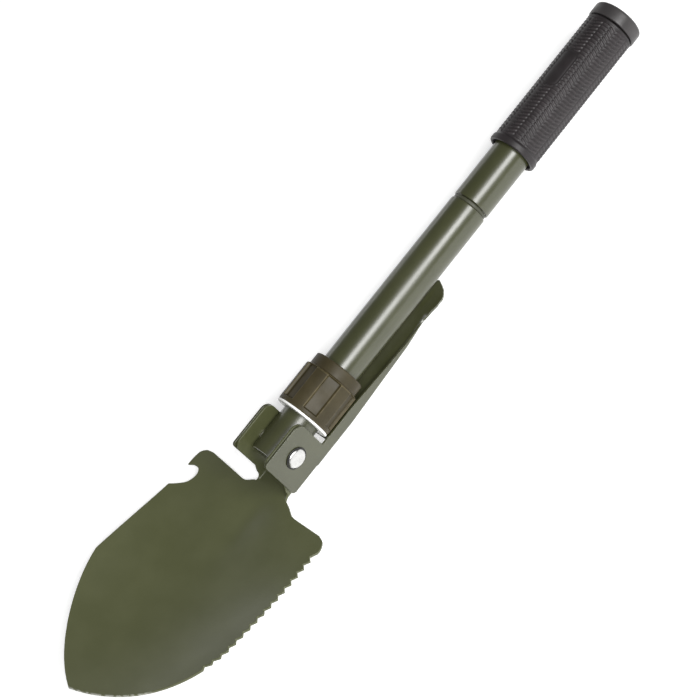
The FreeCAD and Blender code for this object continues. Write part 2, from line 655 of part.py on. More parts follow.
def closed_between(front, back):
    """The solid between two faces with matching borders."""
    walls = [Part.makeRuledSurface(one, other) for one, other in zip(front.Edges, back.Edges)]
    solid = Part.Solid(Part.makeShell([front, back] + walls))
    if solid.Volume < 0:
        solid.reverse()
    return solid


def outline_side(side, downs):
    """Points of one long edge of the blade."""
    return [FreeCAD.Vector(side * edge_half_width(down), -down, 0) for down in downs]


def smooth(points):
    """One spline edge through the points."""
    spline = Part.BSplineCurve()
    spline.interpolate(points)
    return spline.toShape()


def straight(points):
    """Straight edges from point to point."""
    return [Part.LineSegment(start, end).toShape() for start, end in zip(points, points[1:])]


# Points of the blade's outline, as half width and distance below the pivot.
RIGHT_FLARE = [(12.6, 18.2), (14.6, 19.0), (16.8, 20.1), (19.4, 21.4), (22.5, 21.8)]
RIGHT_CORNER = [(39.5, 21.3), (43.3, 22.7), (45.8, 25.8), (46.4, 28.2)]
LEFT_FLARE = [(12.6, 18.3), (14.2, 19.4), (16.0, 20.5), (18.2, 20.8), (22.5, 20.5)]
LEFT_CORNER = [(42.6, 19.2), (46.6, 20.0), (48.8, 22.4), (48.7, 25.8), (47.7, 31.0)]
OPENER_BITE = [(47.7, 31.0), (44.7, 29.4), (41.2, 29.8), (39.4, 33.0), (40.6, 37.6), (44.2, 41.2)]


def on_side(side, pairs):
    """Points of the outline on the right side (1) or the left side (-1)."""
    return [FreeCAD.Vector(side * across, -down, 0) for across, down in pairs]


def shoulder_edges(side, flare, corner):
    """Neck, flare, upper edge and rounded corner of one shoulder, from the neck outwards."""
    neck = dim("neck_half_width").value
    start = dim("flare_start").value
    edges = straight(on_side(side, [(neck, dim("neck_top").value), (neck, start)]))
    edges.append(smooth(on_side(side, [(neck, start)] + flare)))
    edges += straight(on_side(side, [flare[-1], corner[0]]))
    edges.append(smooth(on_side(side, corner)))
    return edges


def saw_edges(start):
    """The saw: long flanks that fall inwards and short ones that step out again."""
    pitch = dim("tooth_pitch").value
    flank = dim("tooth_flank").value
    depth = dim("tooth_depth").value
    points = on_side(1, [start])
    tooth = dim("first_tooth").value
    for _ in range(int(dim("tooth_count").value)):
        root = tooth - pitch + flank
        points.append(FreeCAD.Vector(edge_half_width(root) - depth, -root, 0))
        points.append(FreeCAD.Vector(edge_half_width(tooth), -tooth, 0))
        tooth += pitch
    points.append(FreeCAD.Vector(edge_half_width(tooth), -tooth, 0))
    return straight(points), tooth


def blade_outline():
    """The closed outline of the blade, seen from the front."""
    right = shoulder_edges(1, RIGHT_FLARE, RIGHT_CORNER)
    left = shoulder_edges(-1, LEFT_FLARE, LEFT_CORNER)
    saw, saw_end = saw_edges(RIGHT_CORNER[-1])
    lip = dim("opener_lip_down").value
    neck = dim("neck_half_width").value
    top = dim("neck_top").value
    edges = straight(on_side(1, [(-neck, top), (neck, top)])) + right + saw
    steps = [0.0, 0.2, 0.4, 0.6, 0.78, 0.9, 0.97, 1.0]
    right_side = outline_side(1, [saw_end + (tip_down - saw_end) * step for step in steps])
    left_side = outline_side(-1, [lip + (widest - lip) * step for step in (0.0, 0.5, 1.0)]
                             + [widest + (tip_down - widest) * step for step in steps[1:]])
    bite = smooth(on_side(-1, OPENER_BITE + [(edge_half_width(lip), lip)]))
    edges += [smooth(right_side), smooth(left_side), bite] + left
    return Part.Face(Part.Wire(Part.__sortEdges__(edges)))


dished_slab = doc.addObject("Part::Feature", "dished_slab")
dished_slab.Shape = closed_between(spline_face(0.0), spline_face(steel))
blade_plan = doc.addObject("Part::Feature", "blade_plan")
blade_plan.Shape = blade_outline()
blade_punch = doc.addObject("Part::Extrusion", "blade_punch")
blade_punch.Base = blade_plan
blade_punch.Dir = FreeCAD.Vector(0, 0, 1)
blade_punch.Solid = True
blade_punch.LengthFwd = 40
blade_punch.LengthRev = 40
blade_plate = doc.addObject("Part::Common", "blade_plate")
blade_plate.Base = dished_slab
blade_plate.Tool = blade_punch
doc.recompute()

blade = doc.addObject("PartDesign::Body", "blade")
blade.BaseFeature = blade_plate
doc.recompute()
web_back = dim("web_front") - dim("sheet_thickness")
neck_wall = dim("neck_wall_top")
for side, inner_face in (("right", dim("blade_ear_inside")),
                         ("left", -dim("blade_ear_inside") - dim("sheet_thickness"))):
    ear_side = new_sketch(blade, f"blade_ear_{side}", "YZ_Plane", inner_face)
    draw_loop(ear_side, [
        (ear_half, -ear_half), (ear_half, ear_half), (-ear_half, ear_half), (-ear_half, neck_wall),
        (-dim("flare_start"), dim("web_front") + 0.4), (-dim("flare_start"), web_back),
        (-dim("neck_top"), web_back), (-dim("neck_top") + 2.0, -ear_half)])
    pad(blade, f"blade_ear_{side}_plate", ear_side, dim("sheet_thickness"))
fillet(blade, "blade_ear_corners", [
    corner_at(ear_half, -ear_half), corner_at(ear_half, ear_half), corner_at(-ear_half, ear_half)],
    dim("ear_rounding"))
blade_hole = new_sketch(blade, "blade_hole", "YZ_Plane")
draw_circle(blade_hole, ZERO, ZERO, rivet_hole)
pocket(blade, "blade_rivet_holes", blade_hole, pick_outside * 3, both_ways=True)
place(blade, ZERO, ZERO)
doc.recompute()

# ---------------------------------------------------------------- check and write

NODES = [
    "blade", "pick", "pivot_rivet", "rivet_washers", "pivot_bush", "lower_tube", "locking_collar",
    "thrust_washer", "joint_stud", "joint_seal_ring", "joint_socket", "upper_tube", "grip_sleeve",
    "cap_socket", "cap_o_ring", "end_cap", "compass_case", "compass_dial", "compass_pivot",
    "compass_needle", "compass_lens"]

for item in doc.Objects:
    if "Invalid" in item.State or "Error" in item.State:
        raise RuntimeError(f"{item.Label} failed: {item.State}")
if locking_collar.Shape.Volume > fluted_once - 1.0:
    raise RuntimeError("the collar's flutes are not repeated")

for name in NODES:
    piece = doc.getObject(name)
    if piece.Shape.isNull() or not piece.Shape.isValid():
        raise RuntimeError(f"{name} has no valid shape")
for name in NODES:
    piece = doc.getObject(name)
    piece.Shape.exportStep(f"parts/{piece.Label}.step")
    box = piece.Shape.BoundBox
    print(f"{name}: {len(piece.Shape.Solids)} solid(s), {piece.Shape.Volume:.1f} mm3, "
          f"x {box.XMin:.2f} to {box.XMax:.2f}, y {box.YMin:.2f} to {box.YMax:.2f}, "
          f"z {box.ZMin:.2f} to {box.ZMax:.2f}")
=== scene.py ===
import math

import bpy
import numpy as np
from mathutils import Matrix, Vector
from mathutils.geometry import delaunay_2d_cdt


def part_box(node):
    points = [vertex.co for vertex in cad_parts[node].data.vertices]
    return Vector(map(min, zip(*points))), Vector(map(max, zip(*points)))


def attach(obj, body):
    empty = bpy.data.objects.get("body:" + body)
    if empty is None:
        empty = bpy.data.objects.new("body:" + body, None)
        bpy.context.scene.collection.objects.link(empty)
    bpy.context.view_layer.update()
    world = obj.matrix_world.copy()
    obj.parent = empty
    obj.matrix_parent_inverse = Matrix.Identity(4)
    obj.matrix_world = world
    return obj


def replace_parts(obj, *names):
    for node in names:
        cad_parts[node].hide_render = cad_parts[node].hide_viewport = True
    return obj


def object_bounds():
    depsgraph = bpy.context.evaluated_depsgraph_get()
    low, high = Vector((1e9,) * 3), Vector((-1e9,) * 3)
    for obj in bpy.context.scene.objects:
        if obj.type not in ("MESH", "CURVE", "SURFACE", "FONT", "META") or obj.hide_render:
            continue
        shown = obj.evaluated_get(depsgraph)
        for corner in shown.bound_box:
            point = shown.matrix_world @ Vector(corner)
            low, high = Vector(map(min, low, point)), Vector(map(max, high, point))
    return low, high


# A folding camp shovel. Local sizes are in millimetres from the blade's pivot: x across,
# y along the handle to the grip, z up out of the blade's hollow face.

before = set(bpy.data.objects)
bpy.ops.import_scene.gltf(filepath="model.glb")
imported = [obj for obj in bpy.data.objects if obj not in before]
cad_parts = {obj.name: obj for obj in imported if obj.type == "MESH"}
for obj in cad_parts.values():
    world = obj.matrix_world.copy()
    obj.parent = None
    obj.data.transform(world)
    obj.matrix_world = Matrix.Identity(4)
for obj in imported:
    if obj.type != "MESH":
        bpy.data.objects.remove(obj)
cad_box = [list(corner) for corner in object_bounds()]
MM = 0.001


def middle(node):
    """Middle of a CAD node's box."""
    low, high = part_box(node)
    return (low + high) / 2


PIVOT = middle("pivot_rivet")


def span(node):
    """Where a CAD node starts and ends along the handle, in millimetres from the pivot."""
    low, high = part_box(node)
    return (low.y - PIVOT.y) / MM, (high.y - PIVOT.y) / MM


# ---------------------------------------------------------------- materials

class Nodes:
    """A small helper that builds one material's node tree."""

    def __init__(self, name):
        self.material = bpy.data.materials.new(name)
        self.material.use_nodes = True
        self.tree = self.material.node_tree
        self.shader = self.tree.nodes["Principled BSDF"]
        coords = self.tree.nodes.new("ShaderNodeTexCoord")
        self.place = coords.outputs["Object"]

    def link(self, source, target):
        self.tree.links.new(source, target)

    def set(self, **values):
        for name, value in values.items():
            self.shader.inputs[name.replace("_", " ")].default_value = value
        return self

    def noise(self, scale, detail=3.0, roughness=0.5):
        node = self.tree.nodes.new("ShaderNodeTexNoise")
        node.inputs["Scale"].default_value = scale
        node.inputs["Detail"].default_value = detail
        node.inputs["Roughness"].default_value = roughness
        self.link(self.place, node.inputs["Vector"])
        return node.outputs["Fac"]

    def ranged(self, value, low, high, to_low=0.0, to_high=1.0):
        node = self.tree.nodes.new("ShaderNodeMapRange")
        for name, number in (("From Min", low), ("From Max", high),
                             ("To Min", to_low), ("To Max", to_high)):
            node.inputs[name].default_value = number
        self.link(value, node.inputs["Value"])
        return node.outputs["Result"]

    def maths(self, operation, first, second):
        node = self.tree.nodes.new("ShaderNodeMath")
        node.operation = operation
        for slot, value in enumerate((first, second)):
            if isinstance(value, float):
                node.inputs[slot].default_value = value
            else:
                self.link(value, node.inputs[slot])
        return node.outputs["Value"]

    def attribute(self, name):
        node = self.tree.nodes.new("ShaderNodeAttribute")
        node.attribute_name = name
        return node.outputs["Fac"]

    def mix(self, factor, first, second):
        """Mixes two colours, given as tuples or as sockets."""
        node = self.tree.nodes.new("ShaderNodeMix")
        node.data_type = "RGBA"
        self.link(factor, node.inputs["Factor"])
        for slot, value in ((6, first), (7, second)):
            if isinstance(value, tuple):
                node.inputs[slot].default_value = (*value, 1.0)
            else:
                self.link(value, node.inputs[slot])
        return node.outputs[2]

    def bump(self, height, distance, strength=1.0, normal=None):
        node = self.tree.nodes.new("ShaderNodeBump")
        node.inputs["Distance"].default_value = distance
        node.inputs["Strength"].default_value = strength
        self.link(height, node.inputs["Height"])
        if normal is not None:
            self.link(normal, node.inputs["Normal"])
        return node.outputs["Normal"]

    def to(self, name, socket):
        self.link(socket, self.shader.inputs[name])
        return self


def paint(name, colour, darker, roughness, specular, steel_at_wear):
    """Baked enamel on steel: faint mottling, fine orange peel, and bare metal where it's worn."""
    n = Nodes(name)
    n.set(Specular_IOR_Level=specular)
    mottle = n.ranged(n.noise(60.0, 4.0), 0.35, 0.65)
    tint = n.mix(mottle, darker, colour)
    rub = n.noise(420.0, 4.0, 0.6)
    worn = n.maths("MULTIPLY", n.attribute("wear"), n.ranged(rub, 0.30, 0.55))
    worn = n.ranged(worn, 0.25, 0.75)
    n.to("Base Color", n.mix(worn, tint, steel_at_wear))
    n.to("Metallic", n.ranged(worn, 0.0, 1.0, 0.0, 0.85))
    smudge = n.noise(35.0, 3.0)
    n.to("Roughness", n.ranged(smudge, 0.3, 0.7, roughness - 0.04, roughness + 0.05))
    peel = n.bump(n.noise(1500.0, 2.0), 0.00004, 0.35)
    n.to("Normal", n.bump(n.noise(110.0, 2.0), 0.0002, 0.12, peel))
    return n.material


def bare_metal(name, colour, roughness, metallic=1.0):
    """Plated or blackened steel with fine turned scratches."""
    n = Nodes(name)
    n.set(Metallic=metallic)
    spots = n.ranged(n.noise(300.0, 4.0), 0.35, 0.7)
    n.to("Base Color", n.mix(spots, colour, tuple(c * 0.86 for c in colour)))
    n.to("Roughness", n.ranged(n.noise(900.0, 3.0), 0.3, 0.7, roughness - 0.05, roughness + 0.08))
    n.to("Normal", n.bump(n.noise(2600.0, 2.0), 0.00003, 0.4))
    return n.material


def moulded(name, colour, lighter, roughness, grain=900.0, depth=0.00006, specular=0.5):
    """Moulded plastic or rubber: a fine grain, slight cloudiness, and lighter handled patches where the wear
    attribute is set, which carry both rubbed wear and painted highlights.
    """
    n = Nodes(name)
    n.set(Specular_IOR_Level=specular)
    cloud = n.ranged(n.noise(90.0, 4.0), 0.35, 0.7)
    tint = n.mix(cloud, colour, lighter)
    rub = n.maths("MULTIPLY", n.attribute("wear"), n.ranged(n.noise(500.0, 3.0), 0.2, 0.6))
    n.to("Base Color", n.mix(rub, tint, tuple(min(1.0, c * 2.6) for c in lighter)))
    n.to("Roughness", n.ranged(n.noise(160.0, 3.0), 0.3, 0.7, roughness - 0.05, roughness + 0.07))
    n.to("Normal", n.bump(n.noise(grain, 3.0, 0.6), depth, 0.5))
    return n.material


def clear_lens(name):
    n = Nodes(name)
    n.set(Roughness=0.03, IOR=1.49, Transmission_Weight=0.92, Alpha=0.35)
    n.to("Base Color", n.mix(n.noise(40.0), (0.93, 0.96, 0.95), (0.97, 0.99, 0.98)))
    n.to("Normal", n.bump(n.noise(30.0, 1.0), 0.0001, 0.1))
    return n.material


STEEL_WEAR = (0.62, 0.62, 0.58)
OLIVE = paint("olive_enamel", (0.046, 0.049, 0.019), (0.037, 0.040, 0.014), 0.31, 0.95, STEEL_WEAR)
# The blade's enamel is a lighter copy of the olive paint on the pick and tubes: its extra lightness is painted
# light falling on the blade.
BLADE_OLIVE_LIT = paint("blade_enamel_lit", (0.080, 0.086, 0.038), (0.071, 0.077, 0.032), 0.40, 0.6,
                    STEEL_WEAR)
RIVET_STEEL = bare_metal("rivet_steel", (0.66, 0.66, 0.65), 0.30)
DARK_STEEL = bare_metal("blackened_steel", (0.03, 0.03, 0.028), 0.42, 0.6)
THREAD_STEEL = bare_metal("thread_steel", (0.58, 0.57, 0.53), 0.30)
BRASS = bare_metal("brass_pin", (0.75, 0.55, 0.24), 0.25)
COLLAR = moulded("collar_plastic", (0.034, 0.027, 0.011), (0.050, 0.040, 0.018), 0.52, specular=0.3)
NYLON = moulded("white_nylon", (0.90, 0.90, 0.88), (0.94, 0.94, 0.92), 0.45)
SEAL = moulded("seal_rubber", (0.012, 0.012, 0.012), (0.018, 0.018, 0.017), 0.6)
JOINT_SEAL = moulded("joint_seal_rubber_look", (0.040, 0.042, 0.024), (0.052, 0.054, 0.032), 0.5)
GRIP = moulded("grip_rubber", (0.016, 0.0135, 0.014), (0.024, 0.020, 0.021), 0.44, 1400.0,
               0.00005, 0.4)
CAP = moulded("cap_plastic", (0.034, 0.031, 0.031), (0.042, 0.038, 0.038), 0.40, 700.0, 0.00008)
DIAL = moulded("dial_white", (0.82, 0.82, 0.78), (0.86, 0.86, 0.82), 0.5)
INK = moulded("dial_ink", (0.02, 0.02, 0.02), (0.03, 0.03, 0.03), 0.5)
NEEDLE = moulded("needle_red", (0.55, 0.03, 0.02), (0.62, 0.04, 0.03), 0.3)
LENS = clear_lens("compass_lens")

# ---------------------------------------------------------------- mesh helpers


def built(name, points, faces, material, body, stands_for=(), wear=None, normals=None,
          sharp=None):
    """A mesh from points in millimetres from the pivot, riding on a CAD body."""
    mesh = bpy.data.meshes.new(name)
    place = np.asarray(points, float) * MM + np.array(PIVOT)
    mesh.from_pydata([tuple(p) for p in place], [], [tuple(int(i) for i in f) for f in faces])
    mesh.materials.append(material)
    if wear is not None:
        layer = mesh.attributes.new("wear", "FLOAT", "POINT")
        layer.data.foreach_set("value", np.asarray(wear, np.float32))
    mesh.shade_smooth()
    if sharp is not None:
        mesh.set_sharp_from_angle(angle=math.radians(sharp))
    if normals is not None:
        mesh.normals_split_custom_set_from_vertices([tuple(v) for v in normals])
    piece = bpy.data.objects.new(name, mesh)
    bpy.context.scene.collection.objects.link(piece)
    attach(piece, body)
    if stands_for:
        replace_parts(piece, *stands_for)
    return piece


def smoothstep(value, low, high):
    t = np.clip((np.asarray(value, float) - low) / (high - low), 0.0, 1.0)
    return t * t * (3 - 2 * t)


def bent(points, radii, steps=6):
    """A closed polyline with its corners rounded by arcs of about the given radii."""
    out = []
    count = len(points)
    for i, (point, radius) in enumerate(zip(points, radii)):
        p = np.array(point, float)
        if not radius:
            out.append(p)
            continue
        before = np.array(points[i - 1], float) - p
        after = np.array(points[(i + 1) % count], float) - p
        a, b = before / np.linalg.norm(before), after / np.linalg.norm(after)
        half = math.acos(max(-1.0, min(1.0, float(a @ b)))) / 2
        reach = min(radius / math.tan(half), 0.49 * np.linalg.norm(before),
                    0.49 * np.linalg.norm(after))
        start, end = p + a * reach, p + b * reach
        bow = reach * math.tan(half)
        bisector = (a + b) / np.linalg.norm(a + b)
        centre = p + bisector * math.hypot(reach, bow)
        for k in range(steps + 1):
            v = (start - centre) * (1 - k / steps) + (end - centre) * (k / steps)
            out.append(centre + v / np.linalg.norm(v) * bow)
    return out


def revolved(name, profile, material, body, stands_for=(), turns=128, centre=(0, 0),
             closed=True, shape=None, wear=None, sharp=30, sector=0.0):
    """Turns a profile of (radius, along) round the handle axis. shape bends (angle, r, y) grids."""
    profile = np.array(profile, float)
    rings = len(profile)
    angles = sector + np.linspace(0, 2 * math.pi, turns, endpoint=False)
    angle, radius = np.meshgrid(angles, profile[:, 0])
    _, along = np.meshgrid(angles, profile[:, 1])
    worn = np.zeros_like(radius)
    if wear is not None:
        worn = np.repeat(np.array(wear, float)[:, None], turns, 1)
    if shape is not None:
        radius, along, worn = shape(angle, radius, along, worn)
    points = np.stack([centre[0] + radius * np.sin(angle), along,
                       centre[1] + radius * np.cos(angle)], -1)
    faces = []
    for i in range(rings if closed else rings - 1):
        j = (i + 1) % rings
        for k in range(turns):
            m = (k + 1) % turns
            faces.append((i * turns + k, i * turns + m, j * turns + m, j * turns + k))
    return built(name, points.reshape(-1, 3), faces, material, body, stands_for,
                 worn.reshape(-1), sharp=sharp)


def sliced(profile, step):
    """A closed profile with its long runs cut into short steps."""
    out = []
    for a, b in zip(profile, list(profile[1:]) + [profile[0]]):
        a, b = np.array(a, float), np.array(b, float)
        count = max(1, int(math.ceil(np.linalg.norm(b - a) / step)))
        out += [a + (b - a) * k / count for k in range(count)]
    return out


def inside(points, loop):
    """Which points lie inside a closed loop."""
    x, y = points[:, 0][:, None], points[:, 1][:, None]
    a, b = loop, np.roll(loop, -1, 0)
    crosses = (a[:, 1] > y) != (b[:, 1] > y)
    rise = np.where(b[:, 1] == a[:, 1], 1e-9, b[:, 1] - a[:, 1])
    at = (b[:, 0] - a[:, 0]) * (y - a[:, 1]) / rise + a[:, 0]
    return (np.sum(crosses & (x < at), 1) % 2) == 1


def sheet_metal(name, outline, surface, thickness, grids, material, body, stands_for, wear,
                rim=0.28):
    """A pressed steel sheet with a rounded rim.

    outline is a closed loop on the flat pattern, surface maps the pattern to the front face,
    and wear gives the wear of the rim at each point of the loop."""
    outline = np.array(outline, float)
    after, before = np.roll(outline, -1, 0), np.roll(outline, 1, 0)
    area = np.sum(outline[:, 0] * after[:, 1] - after[:, 0] * outline[:, 1]) / 2
    if area < 0:
        outline = outline[::-1]
        wear = np.array(wear)[::-1]
        after, before = np.roll(outline, -1, 0), np.roll(outline, 1, 0)
    wear = np.array(wear, float)
    first = outline - before
    second = after - outline
    first /= np.linalg.norm(first, axis=1)[:, None]
    second /= np.linalg.norm(second, axis=1)[:, None]
    inwards = np.stack([-(first + second)[:, 1], (first + second)[:, 0]], 1)
    inwards /= np.linalg.norm(inwards, axis=1)[:, None]
    cosine = np.clip(inwards[:, 0] * -first[:, 1] + inwards[:, 1] * first[:, 0], 0.45, 1)
    inner = outline + inwards * (rim / cosine)[:, None]

    candidates = np.concatenate(grids)
    candidates = candidates[inside(candidates, inner)]
    keep = []
    for chunk in np.array_split(candidates, max(1, len(candidates) // 400)):
        gap = np.min(np.linalg.norm(chunk[:, None] - inner[None], axis=2), 1)
        keep.append(chunk[gap > 0.35])
    flat = np.concatenate([inner] + keep)
    count = len(inner)
    loop_edges = [(i, (i + 1) % count) for i in range(count)]
    corners, _, triangles, origin, _, _ = delaunay_2d_cdt(
        [Vector(p) for p in flat], loop_edges, [], 1, 1e-5)
    index = [o[0] if o else -1 for o in origin]
    added = np.array([[c.x, c.y] for c, i in zip(corners, index) if i < 0]).reshape(-1, 2)
    flat_all = np.concatenate([flat, added])
    extra = len(flat)
    for k, i in enumerate(index):
        if i < 0:
            index[k] = extra
            extra += 1

    def lifted(pattern):
        s, y = pattern[:, 0], pattern[:, 1]
        here = surface(s, y)
        step = 0.02
        across = surface(s + step, y) - surface(s - step, y)
        along = surface(s, y + step) - surface(s, y - step)
        normal = np.cross(across, along)
        return here, normal / np.linalg.norm(normal, axis=1)[:, None]

    front, up = lifted(flat_all)
    back = front - up * thickness
    total = len(flat_all)
    points = [front, back]
    normals = [up, -up]
    worn = [np.zeros(total), np.zeros(total)]
    worn[0][:count] = wear * 0.6
    worn[1][:count] = wear * 0.6
    faces = []
    for t in triangles:
        a, b, c = [index[i] for i in t]
        p, q, r = flat_all[a], flat_all[b], flat_all[c]
        if (q[0] - p[0]) * (r[1] - p[1]) - (r[0] - p[0]) * (q[1] - p[1]) < 0:
            b, c = c, b
        faces.append((a, b, c))
        faces.append((a + total, c + total, b + total))

    loops = [np.arange(count)]
    start = 2 * total
    rounding = min(rim, thickness / 2)
    for turn, depth_base in ((30, 0), (60, 0), (90, 0), (90, 1), (60, 1), (30, 1)):
        a = math.radians(turn)
        out = rim * math.sin(a)
        depth = rounding * (1 - math.cos(a))
        depth = thickness - depth if depth_base else depth
        pattern = inner + (outline - inner) * (out / rim)
        here, normal = lifted(pattern)
        nudge = lifted(inner + (outline - inner) * 0.5)[0] - lifted(inner)[0]
        nudge /= np.linalg.norm(nudge, axis=1)[:, None]
        points.append(here - normal * depth)
        normals.append(nudge * math.sin(a) + normal * (math.cos(a) * (-1 if depth_base else 1)))
        worn.append(wear)
        loops.append(np.arange(start, start + count))
        start += count
    loops.append(np.arange(total, total + count))
    for one, other in zip(loops, loops[1:]):
        for i in range(count):
            j = (i + 1) % count
            faces.append((one[i], other[i], other[j], one[j]))
    used = np.zeros(start, bool)
    used[np.unique(np.concatenate([np.array(f) for f in faces]))] = True
    renumber = np.cumsum(used) - 1
    points = np.concatenate(points)[used]
    normals = np.concatenate(normals)[used]
    worn = np.concatenate(worn)[used]
    faces = [tuple(renumber[list(f)]) for f in faces]
    return built(name, points, faces, material, body, stands_for, worn, normals)


def grid(low_s, high_s, step_s, low_y, high_y, step_y):
    """A staggered grid of points on a flat pattern."""
    rows = []
    ys = np.arange(low_y, high_y + 1e-6, step_y)
    for k, y in enumerate(ys):
        s = np.arange(low_s + (step_s / 2 if k % 2 else 0), high_s + 1e-6, step_s)
        rows.append(np.stack([s, np.full_like(s, y)], 1))
    return np.concatenate(rows)


def through(points, steps=8):
    """A smooth open curve through the points."""
    points = [np.array(p, float) for p in points]
    padded = [2 * points[0] - points[1]] + points + [2 * points[-1] - points[-2]]
    out = []
    for p0, p1, p2, p3 in zip(padded, padded[1:], padded[2:], padded[3:]):
        for k in range(steps):
            t = k / steps
            out.append(0.5 * (2 * p1 + (p2 - p0) * t + (2 * p0 - 5 * p1 + 4 * p2 - p3) * t * t
                              + (3 * p1 - p0 - 3 * p2 + p3) * t ** 3))
    return out + [points[-1]]


def finely(loop, step=1.3):
    """Adds points along a closed loop, so that none are further apart than the step."""
    out = []
    for a, b in zip(loop, loop[1:] + loop[:1]):
        gap = math.hypot(b[0] - a[0], b[1] - a[1])
        if gap < 1e-4:
            continue
        pieces = max(1, int(math.ceil(gap / step)))
        for k in range(pieces):
            out.append(tuple(p + (q - p) * k / pieces for p, q in zip(a, b)))
    return out


# ---------------------------------------------------------------- blade

SHEET = 1.2
FOLD_INSIDE = 0.8
TIP = 143.3
RIM_TIP = 142.8
WIDEST = 88.5
HALF_WIDTH = 49.8
FLARE = 17.6
WEB_FRONT = -14.7
EAR = 12.9
EAR_ROUND = 4.6
DISH_ROOT = 17.0
DISH_START = 24.0
TIP_RISE = 25.4
RISE_POWER = 2.8
HOLLOW = 0.0043
GUTTER_DEPTH = 3.2
GUTTER_HALF = 10.5
EDGE_BOW = 0.0067
POINT_RADIUS = 76.0
FIRST_TOOTH = 33.1
TOOTH_COUNT = 16
TOOTH_PITCH = 4.41
TOOTH_FLANK = 2.85
TOOTH_DEPTH = 2.1


def fade(beyond, reach):
    return np.exp(-(np.maximum(beyond, 0.0) / reach) ** 2)


def face_height(across, down):
    """Front face of the dished blade, as in the CAD."""
    beyond = down - DISH_ROOT
    run = np.maximum(down - DISH_START, 0.0) / (TIP - DISH_START)
    middle_line = WEB_FRONT + TIP_RISE * run ** RISE_POWER
    hollow = HOLLOW * (1 - fade(beyond, 38.0)) * fade(down - 83.0, 75.0)
    gutter = GUTTER_DEPTH * (1 - fade(beyond, GUTTER_HALF)) * fade(down - DISH_START, 25.0)
    return (middle_line + hollow * across ** 2
            + gutter * across ** 2 / (across ** 2 + GUTTER_HALF ** 2))


def folded(s, fold_line, angle, inside_radius):
    """Across and up of a sheet that is folded up beyond the fold line by the angle."""
    side = np.sign(s)
    reach = np.abs(s)
    beyond = np.maximum(reach - fold_line, 0.0)
    arc = inside_radius * angle
    turn = np.minimum(beyond, arc) / inside_radius
    straight = np.maximum(beyond - arc, 0.0)
    across = np.minimum(reach, fold_line) + inside_radius * np.sin(turn) + straight * np.cos(angle)
    up = inside_radius * (1 - np.cos(turn)) + straight * np.sin(angle)
    return side * across, up


BLADE_FOLD = 9.8 - FOLD_INSIDE
BLADE_ARC = FOLD_INSIDE * math.pi / 2


def blade_surface(s, y):
    angle = math.pi / 2 * smoothstep(y, -FLARE, -14.6)
    across, up = folded(s, BLADE_FOLD, angle, FOLD_INSIDE)
    return np.stack([across, y, face_height(across, -y) + up], 1)


def blade_ear(up):
    """Pattern position of a height on the blade's ears."""
    return BLADE_FOLD + BLADE_ARC + up - WEB_FRONT - FOLD_INSIDE


def edge_half_width(down):
    """A long gentle flare, then an arc that runs in to the point."""
    if down < WIDEST:
        return HALF_WIDTH - EDGE_BOW * (WIDEST - down) ** 1.5
    length = RIM_TIP - WIDEST
    chord = math.hypot(length, HALF_WIDTH)
    bulge = math.sqrt(POINT_RADIUS ** 2 - chord ** 2 / 4)
    centre_down = (RIM_TIP + WIDEST) / 2 - bulge * HALF_WIDTH / chord
    centre_across = HALF_WIDTH / 2 - bulge * length / chord
    return math.sqrt(POINT_RADIUS ** 2 - (down - centre_down) ** 2) + centre_across


RIGHT_FLARE = [(12.6, 18.2), (14.6, 19.0), (16.8, 20.1), (19.4, 21.4), (22.5, 21.8)]
RIGHT_CORNER = [(39.5, 21.3), (43.3, 22.7), (45.8, 25.8), (46.4, 28.2)]
LEFT_FLARE = [(12.6, 18.3), (14.2, 19.4), (16.0, 20.5), (18.2, 20.8), (22.5, 20.5)]
LEFT_CORNER = [(42.6, 19.2), (46.6, 20.0), (48.8, 22.4), (48.7, 25.8), (47.7, 31.0)]
OPENER = [(47.7, 31.0), (44.7, 29.4), (41.2, 29.8), (39.4, 33.0), (40.6, 37.6), (44.2, 41.2),
          (edge_half_width(44.0), 44.0)]


def ear_and_shoulder(flare, corner):
    """Half of the pattern from the middle of the neck to the corner of the shoulder."""
    ear = blade_ear(-EAR)
    loop = [(0.0, -8.5), (ear - 1.2, -8.5), (ear, -6.9), (ear, EAR), (blade_ear(EAR), EAR),
            (blade_ear(EAR), -EAR), (blade_ear(-7.2), -EAR), (11.0, -15.4), (10.5, -16.4),
            (11.0, -FLARE)]
    rounded = bent(loop, [0, 0.6, 0.6, EAR_ROUND, EAR_ROUND, EAR_ROUND, 3.0, 0.4, 0.8, 0])
    wing = [(x, -d) for x, d in flare]
    shoulder = through([(x, -d) for x, d in corner], 6)
    return rounded[:-1] + through([(11.0, -FLARE)] + wing, 6) + shoulder


def blade_outline():
    """The whole flat pattern of the blade, with how worn its rim is."""
    right = [(p[0], p[1], 0.2) for p in ear_and_shoulder(RIGHT_FLARE, RIGHT_CORNER)]
    mirrored = [(-p[0], p[1], 0.2) for p in ear_and_shoulder(LEFT_FLARE, LEFT_CORNER)[::-1]]
    saw = []
    tooth = FIRST_TOOTH
    for _ in range(TOOTH_COUNT):
        root = tooth - TOOTH_PITCH + TOOTH_FLANK
        saw.append((edge_half_width(root) - TOOTH_DEPTH, -root, 0.12))
        saw.append((edge_half_width(tooth), -tooth, 0.25))
        tooth += TOOTH_PITCH

    def ground(down):
        return 0.45 * float(smoothstep(down, 108, 124))

    arc = WIDEST + (RIM_TIP - WIDEST) * np.sin(np.linspace(0, math.pi / 2, 60))
    sides = [(edge_half_width(d), -d, ground(d)) for d in [tooth, *(arc[arc > tooth])]]
    above = np.linspace(44.5, WIDEST, 24)[:-1]
    left = [(-edge_half_width(d), -d, ground(d)) for d in [*above, *arc]]
    bite = [(-p[0], -p[1], 0.25) for p in through(OPENER, 6)]
    loop = right + saw + sides + left[::-1][1:] + bite[::-1] + mirrored[1:-1]
    return finely(loop)


